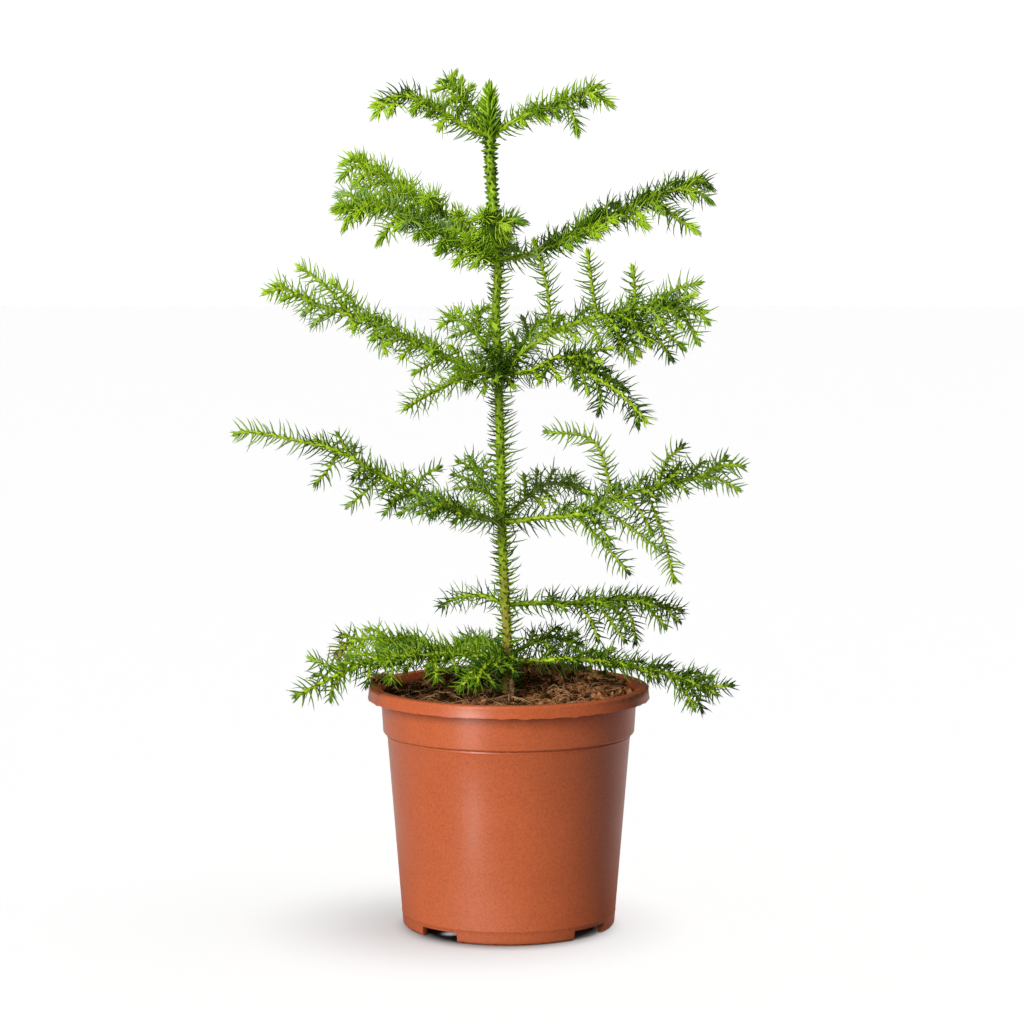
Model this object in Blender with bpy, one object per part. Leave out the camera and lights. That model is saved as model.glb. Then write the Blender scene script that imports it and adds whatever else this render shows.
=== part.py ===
"""A young Norfolk Island pine standing in a terracotta-coloured nursery pot.

Metres, +Z up. The plant stands on the ring under its pot at Z = 0, and the origin is the middle of the
whole plant's box at that height. Azimuths are in degrees: 0 is to the right (+X), 90 is away (+Y).
"""

import math
import random

import bmesh
import bpy
from mathutils import Matrix, Vector

GAP = 0.0003

# The pot, a thin moulded shell turned about +Z
RIM_HEIGHT = 0.1110
RIM_RADIUS = 0.0650
LIP_DROP = 0.0055
LIP_ROUND = 0.0014
LIP_INSIDE = 0.0594
LIP_ROOF_DROP = 0.0026
COLLAR_TOP_RADIUS = 0.0590
COLLAR_FOOT_RADIUS = 0.0574
COLLAR_FOOT_HEIGHT = 0.0895
BODY_TOP_RADIUS = 0.0562
BODY_FOOT_RADIUS = 0.0493
FOOT_ROUND = 0.0018
WALL = 0.0015
FOOT_RING_WIDTH = 0.0033
STEP_HEIGHT = 0.0014
BASE_UNDERSIDE = 0.0052
POT_SEGMENTS = 40

# The four feet of the pot are what is left between notches in its skirt
NOTCHES = 4
NOTCH_FIRST_AZIMUTH = 229.5
NOTCH_WIDTH = 0.0208
NOTCH_HEIGHT = 0.0045
CUT_DEPTH = 0.0060
DRAIN_HOLES = 8
DRAIN_RADIUS = 0.0032
DRAIN_CIRCLE = 0.0360
DRAIN_SEGMENTS = 8

# The soil, its flat seat for the trunk and its lumps
SOIL_HEIGHT = 0.1066
SOIL_RING_COUNT = 5
SOIL_SEGMENTS = 32
SOIL_LUMP = 0.0013
SOIL_EDGE_GAP = 0.0012
SOIL_SHOULDER = 0.0015
SEAT_RADIUS = 0.0060

# The trunk: bends are (shift to the right, height above the soil) from foot to tip
TRUNK_BENDS = (
    (-0.0003, 0.0),
    (-0.0008, 0.028),
    (-0.0030, 0.072),
    (-0.0042, 0.128),
    (-0.0058, 0.176),
    (-0.0050, 0.196),
    (-0.0081, 0.240),
    (-0.0084, 0.281),
)
TRUNK_FOOT_RADIUS = 0.0021
TRUNK_TOP_RADIUS = 0.0013
TRUNK_TIP_RADIUS = 0.0004
TRUNK_TAPER_ENDS = 0.93
ROOT_FLARE = 0.0010
FLARE_HEIGHT = 0.006
TRUNK_SIDES = 10
TRUNK_RINGS = 18
TRUNK_RING_CROWDING = 1.15

# The shoot at the top, a brush of needles round the trunk's tip
LEADER_START = 0.3700
LEADER_RADIUS = 0.0050
LEADER_OVER = 0.0022
LEADER_RINGS = 6
LEADER_SIDES = 8
LEADER_FOOT_SHARE = 0.62
LEADER_BELLY = 0.48
LEADER_NARROWING = 0.20

# Boughs taper from the trunk to where their foliage starts
BOUGH_RADIUS = 0.00125
BOUGH_END_RADIUS = 0.00085
BOUGH_SIDES = 6
BOUGH_RINGS = 4
BOUGH_CLEARANCE = 0.0001
STEEPEST_START = 0.3
PATH_STEPS = 48

# The foliage: where it starts before its first side shoots, how thick a spray is, and how far shoots spread
FOLIAGE_LEAD = 0.14
COLLAR_WIDTH = 0.0019
SHOULDER_HEIGHT = 0.55
SHOULDER_SHARE = 0.72
SPRAY_HALF_THICKNESS = 0.0072
SPRAY_TIP_THICKNESS = 0.0042
VALLEY_WIDTH = 0.0078
NEEDLE_REACH = 0.0035
TIP_THICKNESS = 0.0028
LONG_SHOOT = 0.0215
PADDLE_STEP = 0.022
PADDLE_SHARE = 0.93
SHOOT_LEAN = 58.0
LAST_PAIR = 0.88
PAIR_STEP = 0.06
LEAST_SHOOT = 0.60
TIP_BUD = 0.0045
UNEVEN = 0.14
SEED = 7

# Surfaces: base colours in linear light, and angles above which edges are sharp
POT_COLOUR = (0.52, 0.15, 0.06)
SOIL_COLOUR = (0.09, 0.045, 0.022)
TRUNK_COLOUR = (0.23, 0.33, 0.05)
BOUGH_COLOUR = (0.25, 0.33, 0.06)
NEEDLE_COLOUR = (0.09, 0.26, 0.04)
LEADER_COLOUR = (0.25, 0.45, 0.05)
POT_ROUGHNESS = 0.42
SOIL_ROUGHNESS = 0.95
PLANT_ROUGHNESS = 0.6
SHARP_ANGLE = 50

TIER_HEIGHTS = {
    "tier1": 0.3620,
    "tier2": 0.3070,
    "tier3": 0.2550,
    "tier4": 0.1860,
    "tier5": 0.1480,
    "tier6": 0.1235,
}


def bough(azimuth, path, longest=0.016, pairs=4, roll=0.0, first=0.34, seat=0.0, named=()):
    """One bough. path holds (reach, rise) a third of the way, two thirds of the way and at the tip.

    Its side shoots come in pairs by a rule, the longest first, unless named lists them one by one:
    (place along the bough, forwards, to the left, up), the last three from the shoot's root to its tip.
    Left is the left of someone who looks outwards from the trunk. seat is how far the bough leaves the
    trunk above its tier's height.
    """
    return {
        "azimuth": azimuth,
        "path": path,
        "longest": longest,
        "pairs": pairs,
        "roll": roll,
        "first": first,
        "seat": seat,
        "named": named,
    }


BOUGHS = {
    "tier1_left": bough(
        185,
        ((0.019, 0.011), (0.037, 0.018), (0.055, 0.009)),
        named=(
            (0.36, 0.007, 0.009, 0.002),
            (0.46, 0.008, -0.009, 0.004),
            (0.62, 0.009, 0.008, -0.006),
            (0.76, 0.008, -0.008, 0.003),
            (0.86, 0.006, 0.006, -0.006),
        ),
    ),
    "tier1_left_back": bough(125, ((0.011, 0.010), (0.023, 0.019), (0.036, 0.028)), 0.009, pairs=3),
    "tier1_right": bough(
        5,
        ((0.017, 0.012), (0.037, 0.019), (0.055, 0.015)),
        named=(
            (0.36, 0.008, 0.009, 0.005),
            (0.50, 0.010, -0.008, -0.012),
            (0.62, 0.008, 0.009, 0.005),
            (0.78, 0.007, -0.007, 0.000),
            (0.88, 0.006, 0.005, 0.003),
        ),
    ),
    "tier1_back": bough(72, ((0.012, 0.005), (0.023, 0.008), (0.033, 0.007)), 0.008, pairs=3),
    "tier2_left_back": bough(160, ((0.024, 0.015), (0.050, 0.034), (0.076, 0.047)), 0.016, roll=12),
    "tier2_left_front": bough(
        203,
        ((0.027, 0.013), (0.056, 0.025), (0.080, 0.022)),
        first=0.36,
        seat=-0.0022,
        named=(
            (0.36, 0.009, 0.014, -0.004),
            (0.46, 0.008, -0.008, 0.003),
            (0.56, 0.012, 0.011, -0.011),
            (0.66, 0.008, -0.008, 0.004),
            (0.76, 0.010, 0.010, -0.007),
            (0.88, 0.008, -0.006, 0.002),
        ),
    ),
    "tier2_right": bough(
        15,
        ((0.035, 0.013), (0.070, 0.026), (0.103, 0.035)),
        named=(
            (0.34, 0.010, 0.015, 0.003),
            (0.43, 0.009, -0.015, -0.002),
            (0.53, 0.010, 0.014, 0.006),
            (0.63, 0.010, -0.013, -0.003),
            (0.74, 0.016, -0.009, -0.012),
            (0.80, 0.010, 0.011, 0.005),
            (0.90, 0.009, -0.008, -0.002),
        ),
    ),
    "tier2_front": bough(266, ((0.016, 0.009), (0.031, 0.015), (0.046, 0.019)), 0.011, pairs=3),
    "tier2_back": bough(84, ((0.022, 0.009), (0.044, 0.017), (0.066, 0.022)), 0.016),
    "tier3_left": bough(
        185,
        ((0.032, 0.011), (0.072, 0.027), (0.110, 0.035)),
        named=(
            (0.32, 0.009, 0.016, -0.010),
            (0.38, 0.012, -0.016, 0.006),
            (0.46, 0.006, 0.014, -0.010),
            (0.56, 0.036, -0.012, 0.022),
            (0.62, 0.010, 0.013, -0.004),
            (0.76, 0.014, 0.008, -0.007),
            (0.88, 0.010, -0.006, 0.004),
        ),
    ),
    "tier3_left_back": bough(128, ((0.013, 0.012), (0.027, 0.021), (0.044, 0.026)), 0.012),
    "tier3_right": bough(
        350,
        ((0.032, 0.020), (0.066, 0.029), (0.098, 0.028)),
        roll=66,
        first=0.30,
        named=(
            (0.27, -0.005, 0.009, 0.037),
            (0.36, 0.012, -0.014, -0.016),
            (0.46, -0.004, 0.008, 0.033),
            (0.56, 0.014, -0.012, -0.020),
            (0.64, -0.002, 0.006, 0.023),
            (0.72, 0.015, -0.008, -0.022),
            (0.80, 0.015, 0.007, 0.012),
            (0.88, 0.012, -0.006, -0.012),
        ),
    ),
    "tier3_front_right": bough(
        314,
        ((0.030, 0.010), (0.058, 0.000), (0.091, -0.023)),
        roll=20,
        first=0.36,
        named=(
            (0.34, 0.008, -0.015, -0.006),
            (0.42, 0.012, 0.011, 0.004),
            (0.56, 0.004, -0.010, -0.017),
            (0.64, 0.010, 0.010, 0.003),
            (0.80, 0.008, -0.008, -0.004),
        ),
    ),
    "tier3_right_back": bough(58, ((0.015, 0.007), (0.028, 0.015), (0.041, 0.023)), 0.012, pairs=3),
    "tier3_front_left": bough(235, ((0.025, 0.001), (0.048, -0.005), (0.072, -0.014)), 0.014),
    "tier4_left": bough(
        183,
        ((0.040, 0.012), (0.078, 0.034), (0.126, 0.041)),
        first=0.32,
        named=(
            (0.27, 0.012, 0.019, -0.003),
            (0.32, 0.014, -0.014, 0.015),
            (0.40, 0.014, 0.018, -0.008),
            (0.46, 0.020, -0.012, 0.004),
            (0.52, 0.020, 0.010, -0.013),
            (0.62, 0.004, -0.015, 0.009),
            (0.66, 0.016, 0.008, -0.012),
            (0.80, 0.010, -0.006, 0.002),
        ),
    ),
    "tier4_right": bough(
        355,
        ((0.040, 0.005), (0.076, 0.018), (0.113, 0.026)),
        roll=60,
        first=0.32,
        named=(
            (0.28, 0.029, -0.008, -0.025),
            (0.34, 0.006, 0.010, 0.010),
            (0.42, -0.031, 0.010, 0.032),
            (0.48, 0.026, -0.012, -0.021),
            (0.56, 0.012, -0.008, -0.042),
            (0.63, 0.013, 0.009, 0.020),
            (0.76, 0.012, -0.008, -0.006),
            (0.86, 0.014, -0.006, -0.009),
        ),
    ),
    "tier4_left_back": bough(113, ((0.016, 0.009), (0.035, 0.019), (0.055, 0.027)), 0.017),
    "tier4_right_back": bough(65, ((0.028, 0.009), (0.057, 0.014), (0.089, 0.011)), 0.017),
    "tier4_front_left": bough(236, ((0.019, 0.005), (0.036, 0.010), (0.055, 0.013)), 0.014),
    "tier5_right": bough(
        25,
        ((0.030, -0.002), (0.062, -0.001), (0.095, -0.008)),
        named=(
            (0.30, 0.008, -0.012, -0.010),
            (0.37, 0.012, 0.016, 0.001),
            (0.47, 0.012, -0.012, -0.014),
            (0.55, 0.012, 0.014, 0.001),
            (0.63, 0.012, -0.010, -0.012),
            (0.74, 0.010, 0.009, 0.001),
            (0.86, 0.009, -0.007, -0.004),
        ),
    ),
    "tier5_left_back": bough(130, ((0.016, 0.003), (0.032, 0.000), (0.049, -0.006)), 0.009, pairs=3),
    "tier6_left": bough(
        168,
        ((0.031, 0.004), (0.062, 0.008), (0.087, -0.001)),
        named=(
            (0.34, 0.012, -0.014, 0.001),
            (0.44, 0.008, 0.005, 0.002),
            (0.55, 0.011, -0.013, 0.002),
            (0.66, 0.009, 0.005, 0.002),
            (0.77, 0.010, -0.009, 0.001),
            (0.88, 0.010, 0.006, -0.004),
        ),
    ),
    "tier6_left_front": bough(
        204,
        ((0.036, 0.004), (0.070, 0.001), (0.104, -0.013)),
        seat=-0.0024,
        named=(
            (0.34, 0.010, 0.010, -0.001),
            (0.44, 0.008, -0.005, -0.001),
            (0.54, 0.010, 0.014, 0.001),
            (0.66, 0.010, -0.008, -0.004),
            (0.74, 0.012, 0.010, -0.009),
            (0.86, 0.009, -0.006, -0.004),
        ),
    ),
    "tier6_right": bough(
        350,
        ((0.035, 0.001), (0.072, -0.003), (0.107, -0.012)),
        named=(
            (0.32, 0.012, -0.015, 0.001),
            (0.40, 0.011, 0.014, 0.006),
            (0.50, 0.012, -0.014, 0.000),
            (0.58, 0.012, 0.013, 0.003),
            (0.69, 0.014, -0.009, -0.014),
            (0.77, 0.010, 0.009, 0.001),
            (0.88, 0.009, -0.007, -0.004),
        ),
    ),
    "tier6_right_back": bough(50, ((0.022, 0.006), (0.042, 0.006), (0.060, -0.002)), 0.015),
    "tier6_front": bough(250, ((0.015, 0.003), (0.030, 0.003), (0.045, -0.003)), 0.009, pairs=3),
    "tier6_left_back": bough(112, ((0.020, 0.001), (0.040, -0.001), (0.058, -0.006)), 0.015),
}


def clear_scene():
    """Empties the scene, so that the plant is all it holds."""
    for obj in list(bpy.data.objects):
        bpy.data.objects.remove(obj, do_unlink=True)


def make_material(name, colour, roughness):
    """A plain surface of one colour."""
    material = bpy.data.materials.new(name)
    material.use_nodes = True
    shader = material.node_tree.nodes["Principled BSDF"]
    shader.inputs["Base Color"].default_value = (*colour, 1.0)
    shader.inputs["Roughness"].default_value = roughness
    shader.inputs["Metallic"].default_value = 0.0
    return material


def add_object(name, mesh, material, parent):
    """Puts a mesh into the scene under the plant's own frame."""
    obj = bpy.data.objects.new(name, mesh)
    bpy.context.scene.collection.objects.link(obj)
    mesh.materials.append(material)
    mesh.shade_smooth()
    mesh.set_sharp_from_angle(angle=math.radians(SHARP_ANGLE))
    obj.parent = parent
    return obj


def smooth_curve(points, steps):
    """Evenly stepped points on one smooth curve through the given ones (a Catmull-Rom spline)."""
    before = points[0] * 2 - points[1]
    after = points[-1] * 2 - points[-2]
    line = [before, *points, after]
    spans = len(points) - 1
    found = []
    for step in range(steps + 1):
        place = step * spans / steps
        span = min(int(place), spans - 1)
        t = place - span
        a, b, c, d = line[span : span + 4]
        curved = (2 * a - 5 * b + 4 * c - d) * t * t + (3 * b - a - 3 * c + d) * t**3
        found.append(0.5 * (2 * b + (c - a) * t + curved))
    return found


def along(line, fraction):
    """The point and the direction at a fraction of a line's steps."""
    place = min(max(fraction, 0.0), 1.0) * (len(line) - 1)
    step = min(int(place), len(line) - 2)
    start = line[step]
    end = line[step + 1]
    return start.lerp(end, place - step), (end - start).normalized()


def loft(rings, tip=None):
    """A closed mesh through rings of points: flat at the start, flat or pointed at the tip."""
    shape = bmesh.new()
    loops = [[shape.verts.new(point) for point in ring] for ring in rings]
    count = len(loops[0])
    for low, high in zip(loops, loops[1:]):
        for i in range(count):
            j = (i + 1) % count
            shape.faces.new((low[i], low[j], high[j], high[i]))
    shape.faces.new(reversed(loops[0]))
    if tip is None:
        shape.faces.new(loops[-1])
    else:
        end = shape.verts.new(tip)
        for i in range(count):
            shape.faces.new((loops[-1][i], loops[-1][(i + 1) % count], end))
    bmesh.ops.triangulate(shape, faces=shape.faces[:])
    bmesh.ops.recalc_face_normals(shape, faces=shape.faces[:])
    mesh = bpy.data.meshes.new("loft")
    shape.to_mesh(mesh)
    shape.free()
    return mesh


def turned(profile, segments):
    """A closed mesh turned about +Z from a profile of (radius, height) that starts and ends on the axis."""
    shape = bmesh.new()
    verts = [shape.verts.new((radius, 0.0, height)) for radius, height in profile]
    edges = [shape.edges.new(pair) for pair in zip(verts, verts[1:])]
    bmesh.ops.spin(
        shape,
        geom=verts + edges,
        cent=(0, 0, 0),
        axis=(0, 0, 1),
        angle=math.tau,
        steps=segments,
        use_merge=True,
    )
    bmesh.ops.remove_doubles(shape, verts=shape.verts[:], dist=1e-6)
    bmesh.ops.recalc_face_normals(shape, faces=shape.faces[:])
    mesh = bpy.data.meshes.new("turned")
    shape.to_mesh(mesh)
    shape.free()
    return mesh


def wall_radius(height):
    """The outer radius of the pot's body below its collar."""
    share = (height - FOOT_ROUND) / (COLLAR_FOOT_HEIGHT - FOOT_ROUND)
    return BODY_FOOT_RADIUS + (BODY_TOP_RADIUS - BODY_FOOT_RADIUS) * share


def pot_profile():
    """Half the pot's section: up the outside, over the lip, down the inside, under the base."""
    lip_under = RIM_HEIGHT - LIP_DROP
    lip_roof = RIM_HEIGHT - LIP_ROOF_DROP
    base_top = BASE_UNDERSIDE + WALL
    foot_inside = BODY_FOOT_RADIUS - FOOT_RING_WIDTH
    return [
        (0.0, BASE_UNDERSIDE),
        (foot_inside, BASE_UNDERSIDE),
        (foot_inside, 0.0),
        (BODY_FOOT_RADIUS - 0.6 * FOOT_ROUND, 0.0),
        (BODY_FOOT_RADIUS, FOOT_ROUND),
        (BODY_TOP_RADIUS, COLLAR_FOOT_HEIGHT - 0.6 * STEP_HEIGHT),
        (COLLAR_FOOT_RADIUS, COLLAR_FOOT_HEIGHT + 0.4 * STEP_HEIGHT),
        (COLLAR_TOP_RADIUS, lip_roof),
        (RIM_RADIUS - WALL, lip_roof),
        (RIM_RADIUS - WALL, lip_under),
        (RIM_RADIUS, lip_under),
        (RIM_RADIUS - 0.3 * LIP_ROUND, RIM_HEIGHT - LIP_ROUND),
        (RIM_RADIUS - 1.3 * LIP_ROUND, RIM_HEIGHT),
        (LIP_INSIDE, RIM_HEIGHT),
        (COLLAR_TOP_RADIUS - WALL, lip_roof),
        (COLLAR_FOOT_RADIUS - WALL, COLLAR_FOOT_HEIGHT + 0.4 * STEP_HEIGHT),
        (BODY_TOP_RADIUS - WALL, COLLAR_FOOT_HEIGHT - STEP_HEIGHT),
        (wall_radius(base_top) - WALL, base_top),
        (0.0, base_top),
    ]


def make_cutter(name, mesh, parent):
    """A helper that cuts and is not part of the plant."""
    cutter = bpy.data.objects.new(name, mesh)
    bpy.context.scene.collection.objects.link(cutter)
    cutter.parent = parent
    cutter.hide_render = True
    cutter.display_type = "WIRE"
    return cutter


def cut(obj, cutter):
    """Takes the cutter's shape out of an object."""
    modifier = obj.modifiers.new(cutter.name, "BOOLEAN")
    modifier.operation = "DIFFERENCE"
    modifier.solver = "EXACT"
    modifier.object = cutter


def make_pot(parent):
    """The pot with its notched skirt and its drain holes."""
    plastic = make_material("pot", POT_COLOUR, POT_ROUGHNESS)
    pot = add_object("pot", turned(pot_profile(), POT_SEGMENTS), plastic, parent)
    shape = bmesh.new()
    for index in range(NOTCHES):
        azimuth = math.radians(NOTCH_FIRST_AZIMUTH + index * 360 / NOTCHES)
        outwards = Matrix.Translation((BODY_FOOT_RADIUS, 0, 0))
        place = Matrix.Rotation(azimuth, 4, "Z") @ outwards
        size = Matrix.Diagonal((2 * CUT_DEPTH, NOTCH_WIDTH, 2 * NOTCH_HEIGHT, 1))
        bmesh.ops.create_cube(shape, size=1.0, matrix=place @ size)
    mesh = bpy.data.meshes.new("notches")
    shape.to_mesh(mesh)
    shape.free()
    cut(pot, make_cutter("notch_cutter", mesh, parent))

    shape = bmesh.new()
    for index in range(DRAIN_HOLES):
        azimuth = math.radians(index * 360 / DRAIN_HOLES)
        place = Matrix.Rotation(azimuth, 4, "Z") @ Matrix.Translation((DRAIN_CIRCLE, 0, BASE_UNDERSIDE))
        bmesh.ops.create_cone(
            shape,
            cap_ends=True,
            segments=DRAIN_SEGMENTS,
            radius1=DRAIN_RADIUS,
            radius2=DRAIN_RADIUS,
            depth=CUT_DEPTH,
            matrix=place,
        )
    mesh = bpy.data.meshes.new("drains")
    shape.to_mesh(mesh)
    shape.free()
    cut(pot, make_cutter("drain_cutter", mesh, parent))
    return pot


def make_soil(parent, rng):
    """The soil that fills the pot, lumpy on top but for the seat under the trunk."""
    base = BASE_UNDERSIDE + WALL + GAP
    foot = wall_radius(base) - WALL - GAP
    edge = COLLAR_TOP_RADIUS - WALL - SOIL_EDGE_GAP
    low_edge = COLLAR_FOOT_RADIUS - WALL - SOIL_EDGE_GAP
    profile = [(0.0, base), (foot, base)]
    profile.append((BODY_TOP_RADIUS - WALL - 2 * GAP, COLLAR_FOOT_HEIGHT - 2 * STEP_HEIGHT))
    profile.append((low_edge, COLLAR_FOOT_HEIGHT + STEP_HEIGHT))
    profile.append((edge, SOIL_HEIGHT - 2 * SOIL_LUMP))
    for ring in range(SOIL_RING_COUNT, 0, -1):
        share = (ring - 1) / (SOIL_RING_COUNT - 1)
        profile.append((SEAT_RADIUS + (edge - SOIL_SHOULDER - SEAT_RADIUS) * share, SOIL_HEIGHT))
    profile.append((0.0, SOIL_HEIGHT))
    mesh = turned(profile, SOIL_SEGMENTS)
    for vertex in mesh.vertices:
        radius = math.hypot(vertex.co.x, vertex.co.y)
        if vertex.co.z > SOIL_HEIGHT - 0.5 * GAP and radius > SEAT_RADIUS + GAP:
            vertex.co.z += rng.uniform(-SOIL_LUMP, SOIL_LUMP)
    return add_object("soil", mesh, make_material("soil", SOIL_COLOUR, SOIL_ROUGHNESS), parent)


def trunk_line():
    """The trunk's centre line, from its flat foot on the soil to its tip."""
    foot = SOIL_HEIGHT + GAP
    return smooth_curve([Vector((x, 0.0, foot + up)) for x, up in TRUNK_BENDS], PATH_STEPS)


def trunk_centre(height):
    """The trunk's centre at a height."""
    line = trunk_line()
    for low, high in zip(line, line[1:]):
        if low.z <= height <= high.z:
            return low.lerp(high, (height - low.z) / (high.z - low.z))
    return line[-1]


def trunk_radius(height):
    """The trunk's radius at a height: flared at the foot, an even taper, then a short point."""
    foot = SOIL_HEIGHT + GAP
    top = foot + TRUNK_BENDS[-1][1]
    share = (height - foot) / (top - foot)
    flare = ROOT_FLARE * math.exp(-(height - foot) / FLARE_HEIGHT)
    if share <= TRUNK_TAPER_ENDS:
        return TRUNK_FOOT_RADIUS + (TRUNK_TOP_RADIUS - TRUNK_FOOT_RADIUS) * share / TRUNK_TAPER_ENDS + flare
    point = (share - TRUNK_TAPER_ENDS) / (1 - TRUNK_TAPER_ENDS)
    return TRUNK_TOP_RADIUS + (TRUNK_TIP_RADIUS - TRUNK_TOP_RADIUS) * point


def trunk_rings(extra=0.0):
    """Level rings up the trunk, closer together at the flare."""
    foot = SOIL_HEIGHT + GAP
    top = foot + TRUNK_BENDS[-1][1]
    rings = []
    for index in range(TRUNK_RINGS + 1):
        height = foot + (top - foot) * (index / TRUNK_RINGS) ** TRUNK_RING_CROWDING
        centre = trunk_centre(height)
        radius = trunk_radius(height) + extra
        ring = []
        for side in range(TRUNK_SIDES):
            angle = math.tau * side / TRUNK_SIDES
            ring.append(centre + Vector((radius * math.cos(angle), radius * math.sin(angle), 0.0)))
        rings.append(ring)
    return rings


def make_trunk(parent):
    """The trunk, whole from the soil to the tip of the plant."""
    bark = make_material("trunk", TRUNK_COLOUR, PLANT_ROUGHNESS)
    return add_object("trunk", loft(trunk_rings()), bark, parent)


def make_leader(parent, rng):
    """The brush of needles at the top, hollowed round the trunk's tip."""
    tip = trunk_line()[-1]
    height = tip.z - LEADER_START
    rings = []
    for index in range(LEADER_RINGS):
        share = index / (LEADER_RINGS - 1)
        swell = LEADER_BELLY * math.sin(math.pi * share) - LEADER_NARROWING * share
        radius = LEADER_RADIUS * (LEADER_FOOT_SHARE + swell)
        centre = trunk_centre(LEADER_START + height * share)
        ring = []
        for side in range(LEADER_SIDES):
            angle = math.tau * side / LEADER_SIDES
            reach = radius * rng.uniform(1 - UNEVEN, 1 + UNEVEN)
            ring.append(centre + Vector((reach * math.cos(angle), reach * math.sin(angle), 0.0)))
        rings.append(ring)
    mesh = loft(rings, tip + Vector((0, 0, LEADER_OVER)))
    look = make_material("leader_foliage", LEADER_COLOUR, PLANT_ROUGHNESS)
    leader = add_object("leader_foliage", mesh, look, parent)
    cutter = make_cutter("tip_cutter", loft(trunk_rings(GAP), tip + Vector((0, 0, 2 * GAP))), parent)
    cut(leader, cutter)
    return leader


def bough_line(name, spec):
    """The centre line of a bough and its foliage, from the trunk's middle to the tip."""
    node = trunk_centre(TIER_HEIGHTS[name.split("_")[0]] + spec["seat"])
    azimuth = math.radians(spec["azimuth"])
    outwards = Vector((math.cos(azimuth), math.sin(azimuth), 0.0))
    points = [node] + [node + outwards * reach + Vector((0, 0, rise)) for reach, rise in spec["path"]]
    return smooth_curve(points, PATH_STEPS)


def frond_axes(direction, roll):
    """The sideways and the upward direction of a frond that runs in a direction, turned by roll about it."""
    level = Vector((0, 0, 1)).cross(direction).normalized()
    upright = direction.cross(level)
    turn = math.radians(roll)
    sideways = level * math.cos(turn) + upright * math.sin(turn)
    return sideways, direction.cross(sideways)


def side_shoots(spec, line, rng):
    """The side shoots of a bough in order outwards, each (place, from its root to its tip)."""
    found = []
    azimuth = math.radians(spec["azimuth"])
    outwards = Vector((math.cos(azimuth), math.sin(azimuth), 0.0))
    leftwards = Vector((-math.sin(azimuth), math.cos(azimuth), 0.0))
    for place, forwards, left, up in spec["named"]:
        found.append((place, outwards * forwards + leftwards * left + Vector((0, 0, up))))
    if found:
        return found
    lean = math.radians(SHOOT_LEAN)
    for pair in range(spec["pairs"]):
        share = pair / (spec["pairs"] - 1)
        swell = 1.0 - LEAST_SHOOT * share
        for side in (-1, 1):
            place = spec["first"] + (LAST_PAIR - spec["first"]) * share + 0.5 * side * PAIR_STEP
            direction = along(line, place)[1]
            sideways = frond_axes(direction, spec["roll"])[0]
            length = spec["longest"] * swell * rng.uniform(1 - UNEVEN, 1 + UNEVEN)
            reach = (direction * math.cos(lean) + sideways * math.sin(lean) * side) * length
            found.append((place, reach))
    return found


def make_bough(name, spec, line, parent, material):
    """The bare limb between the trunk and the foliage."""
    start_radius = BOUGH_RADIUS
    node, direction = along(line, 0.0)
    slope = abs(direction.z)
    clear = trunk_radius(node.z) + GAP + start_radius * slope + BOUGH_CLEARANCE
    length = sum((b - a).length for a, b in zip(line, line[1:]))
    first = clear / max(math.hypot(direction.x, direction.y), STEEPEST_START) / length
    last = foliage_start(spec) - GAP / length
    rings = []
    for index in range(BOUGH_RINGS):
        share = index / (BOUGH_RINGS - 1)
        centre, direction = along(line, first + (last - first) * share)
        if index == BOUGH_RINGS - 1:
            direction = along(line, foliage_start(spec))[1]
        sideways, upright = frond_axes(direction, 0.0)
        radius = start_radius + (BOUGH_END_RADIUS - start_radius) * share
        ring = []
        for side in range(BOUGH_SIDES):
            angle = math.tau * side / BOUGH_SIDES
            ring.append(centre + sideways * radius * math.cos(angle) + upright * radius * math.sin(angle))
        rings.append(ring)
    return add_object(name + "_bough", loft(rings), material, parent)


def foliage_start(spec):
    """Where the solid foliage starts, as a fraction of the bough, a little before its first side shoots."""
    return spec["first"] - FOLIAGE_LEAD


def spray_ring(centre, direction, roll, reaches, thickness, rng):
    """Eight points round a spray: out to the tips on its two sides, and over and under its bough."""
    sideways, upright = frond_axes(direction, roll)
    lean = math.radians(SHOOT_LEAN)
    ring = []
    for side in (1, -1):
        reach = reaches.get(side)
        if reach is None:
            reach = (direction * math.cos(lean) + sideways * math.sin(lean) * side) * VALLEY_WIDTH
            reach *= thickness / SPRAY_HALF_THICKNESS
        shoulders = ((-SHOULDER_HEIGHT, SHOULDER_SHARE), (0.0, 1.0), (SHOULDER_HEIGHT, SHOULDER_SHARE))
        for height, share in shoulders:
            ring.append(centre + reach * share + upright * thickness * height * side)
        ring.append(centre + upright * thickness * side * rng.uniform(1 - UNEVEN, 1 + UNEVEN))
    return ring


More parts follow.
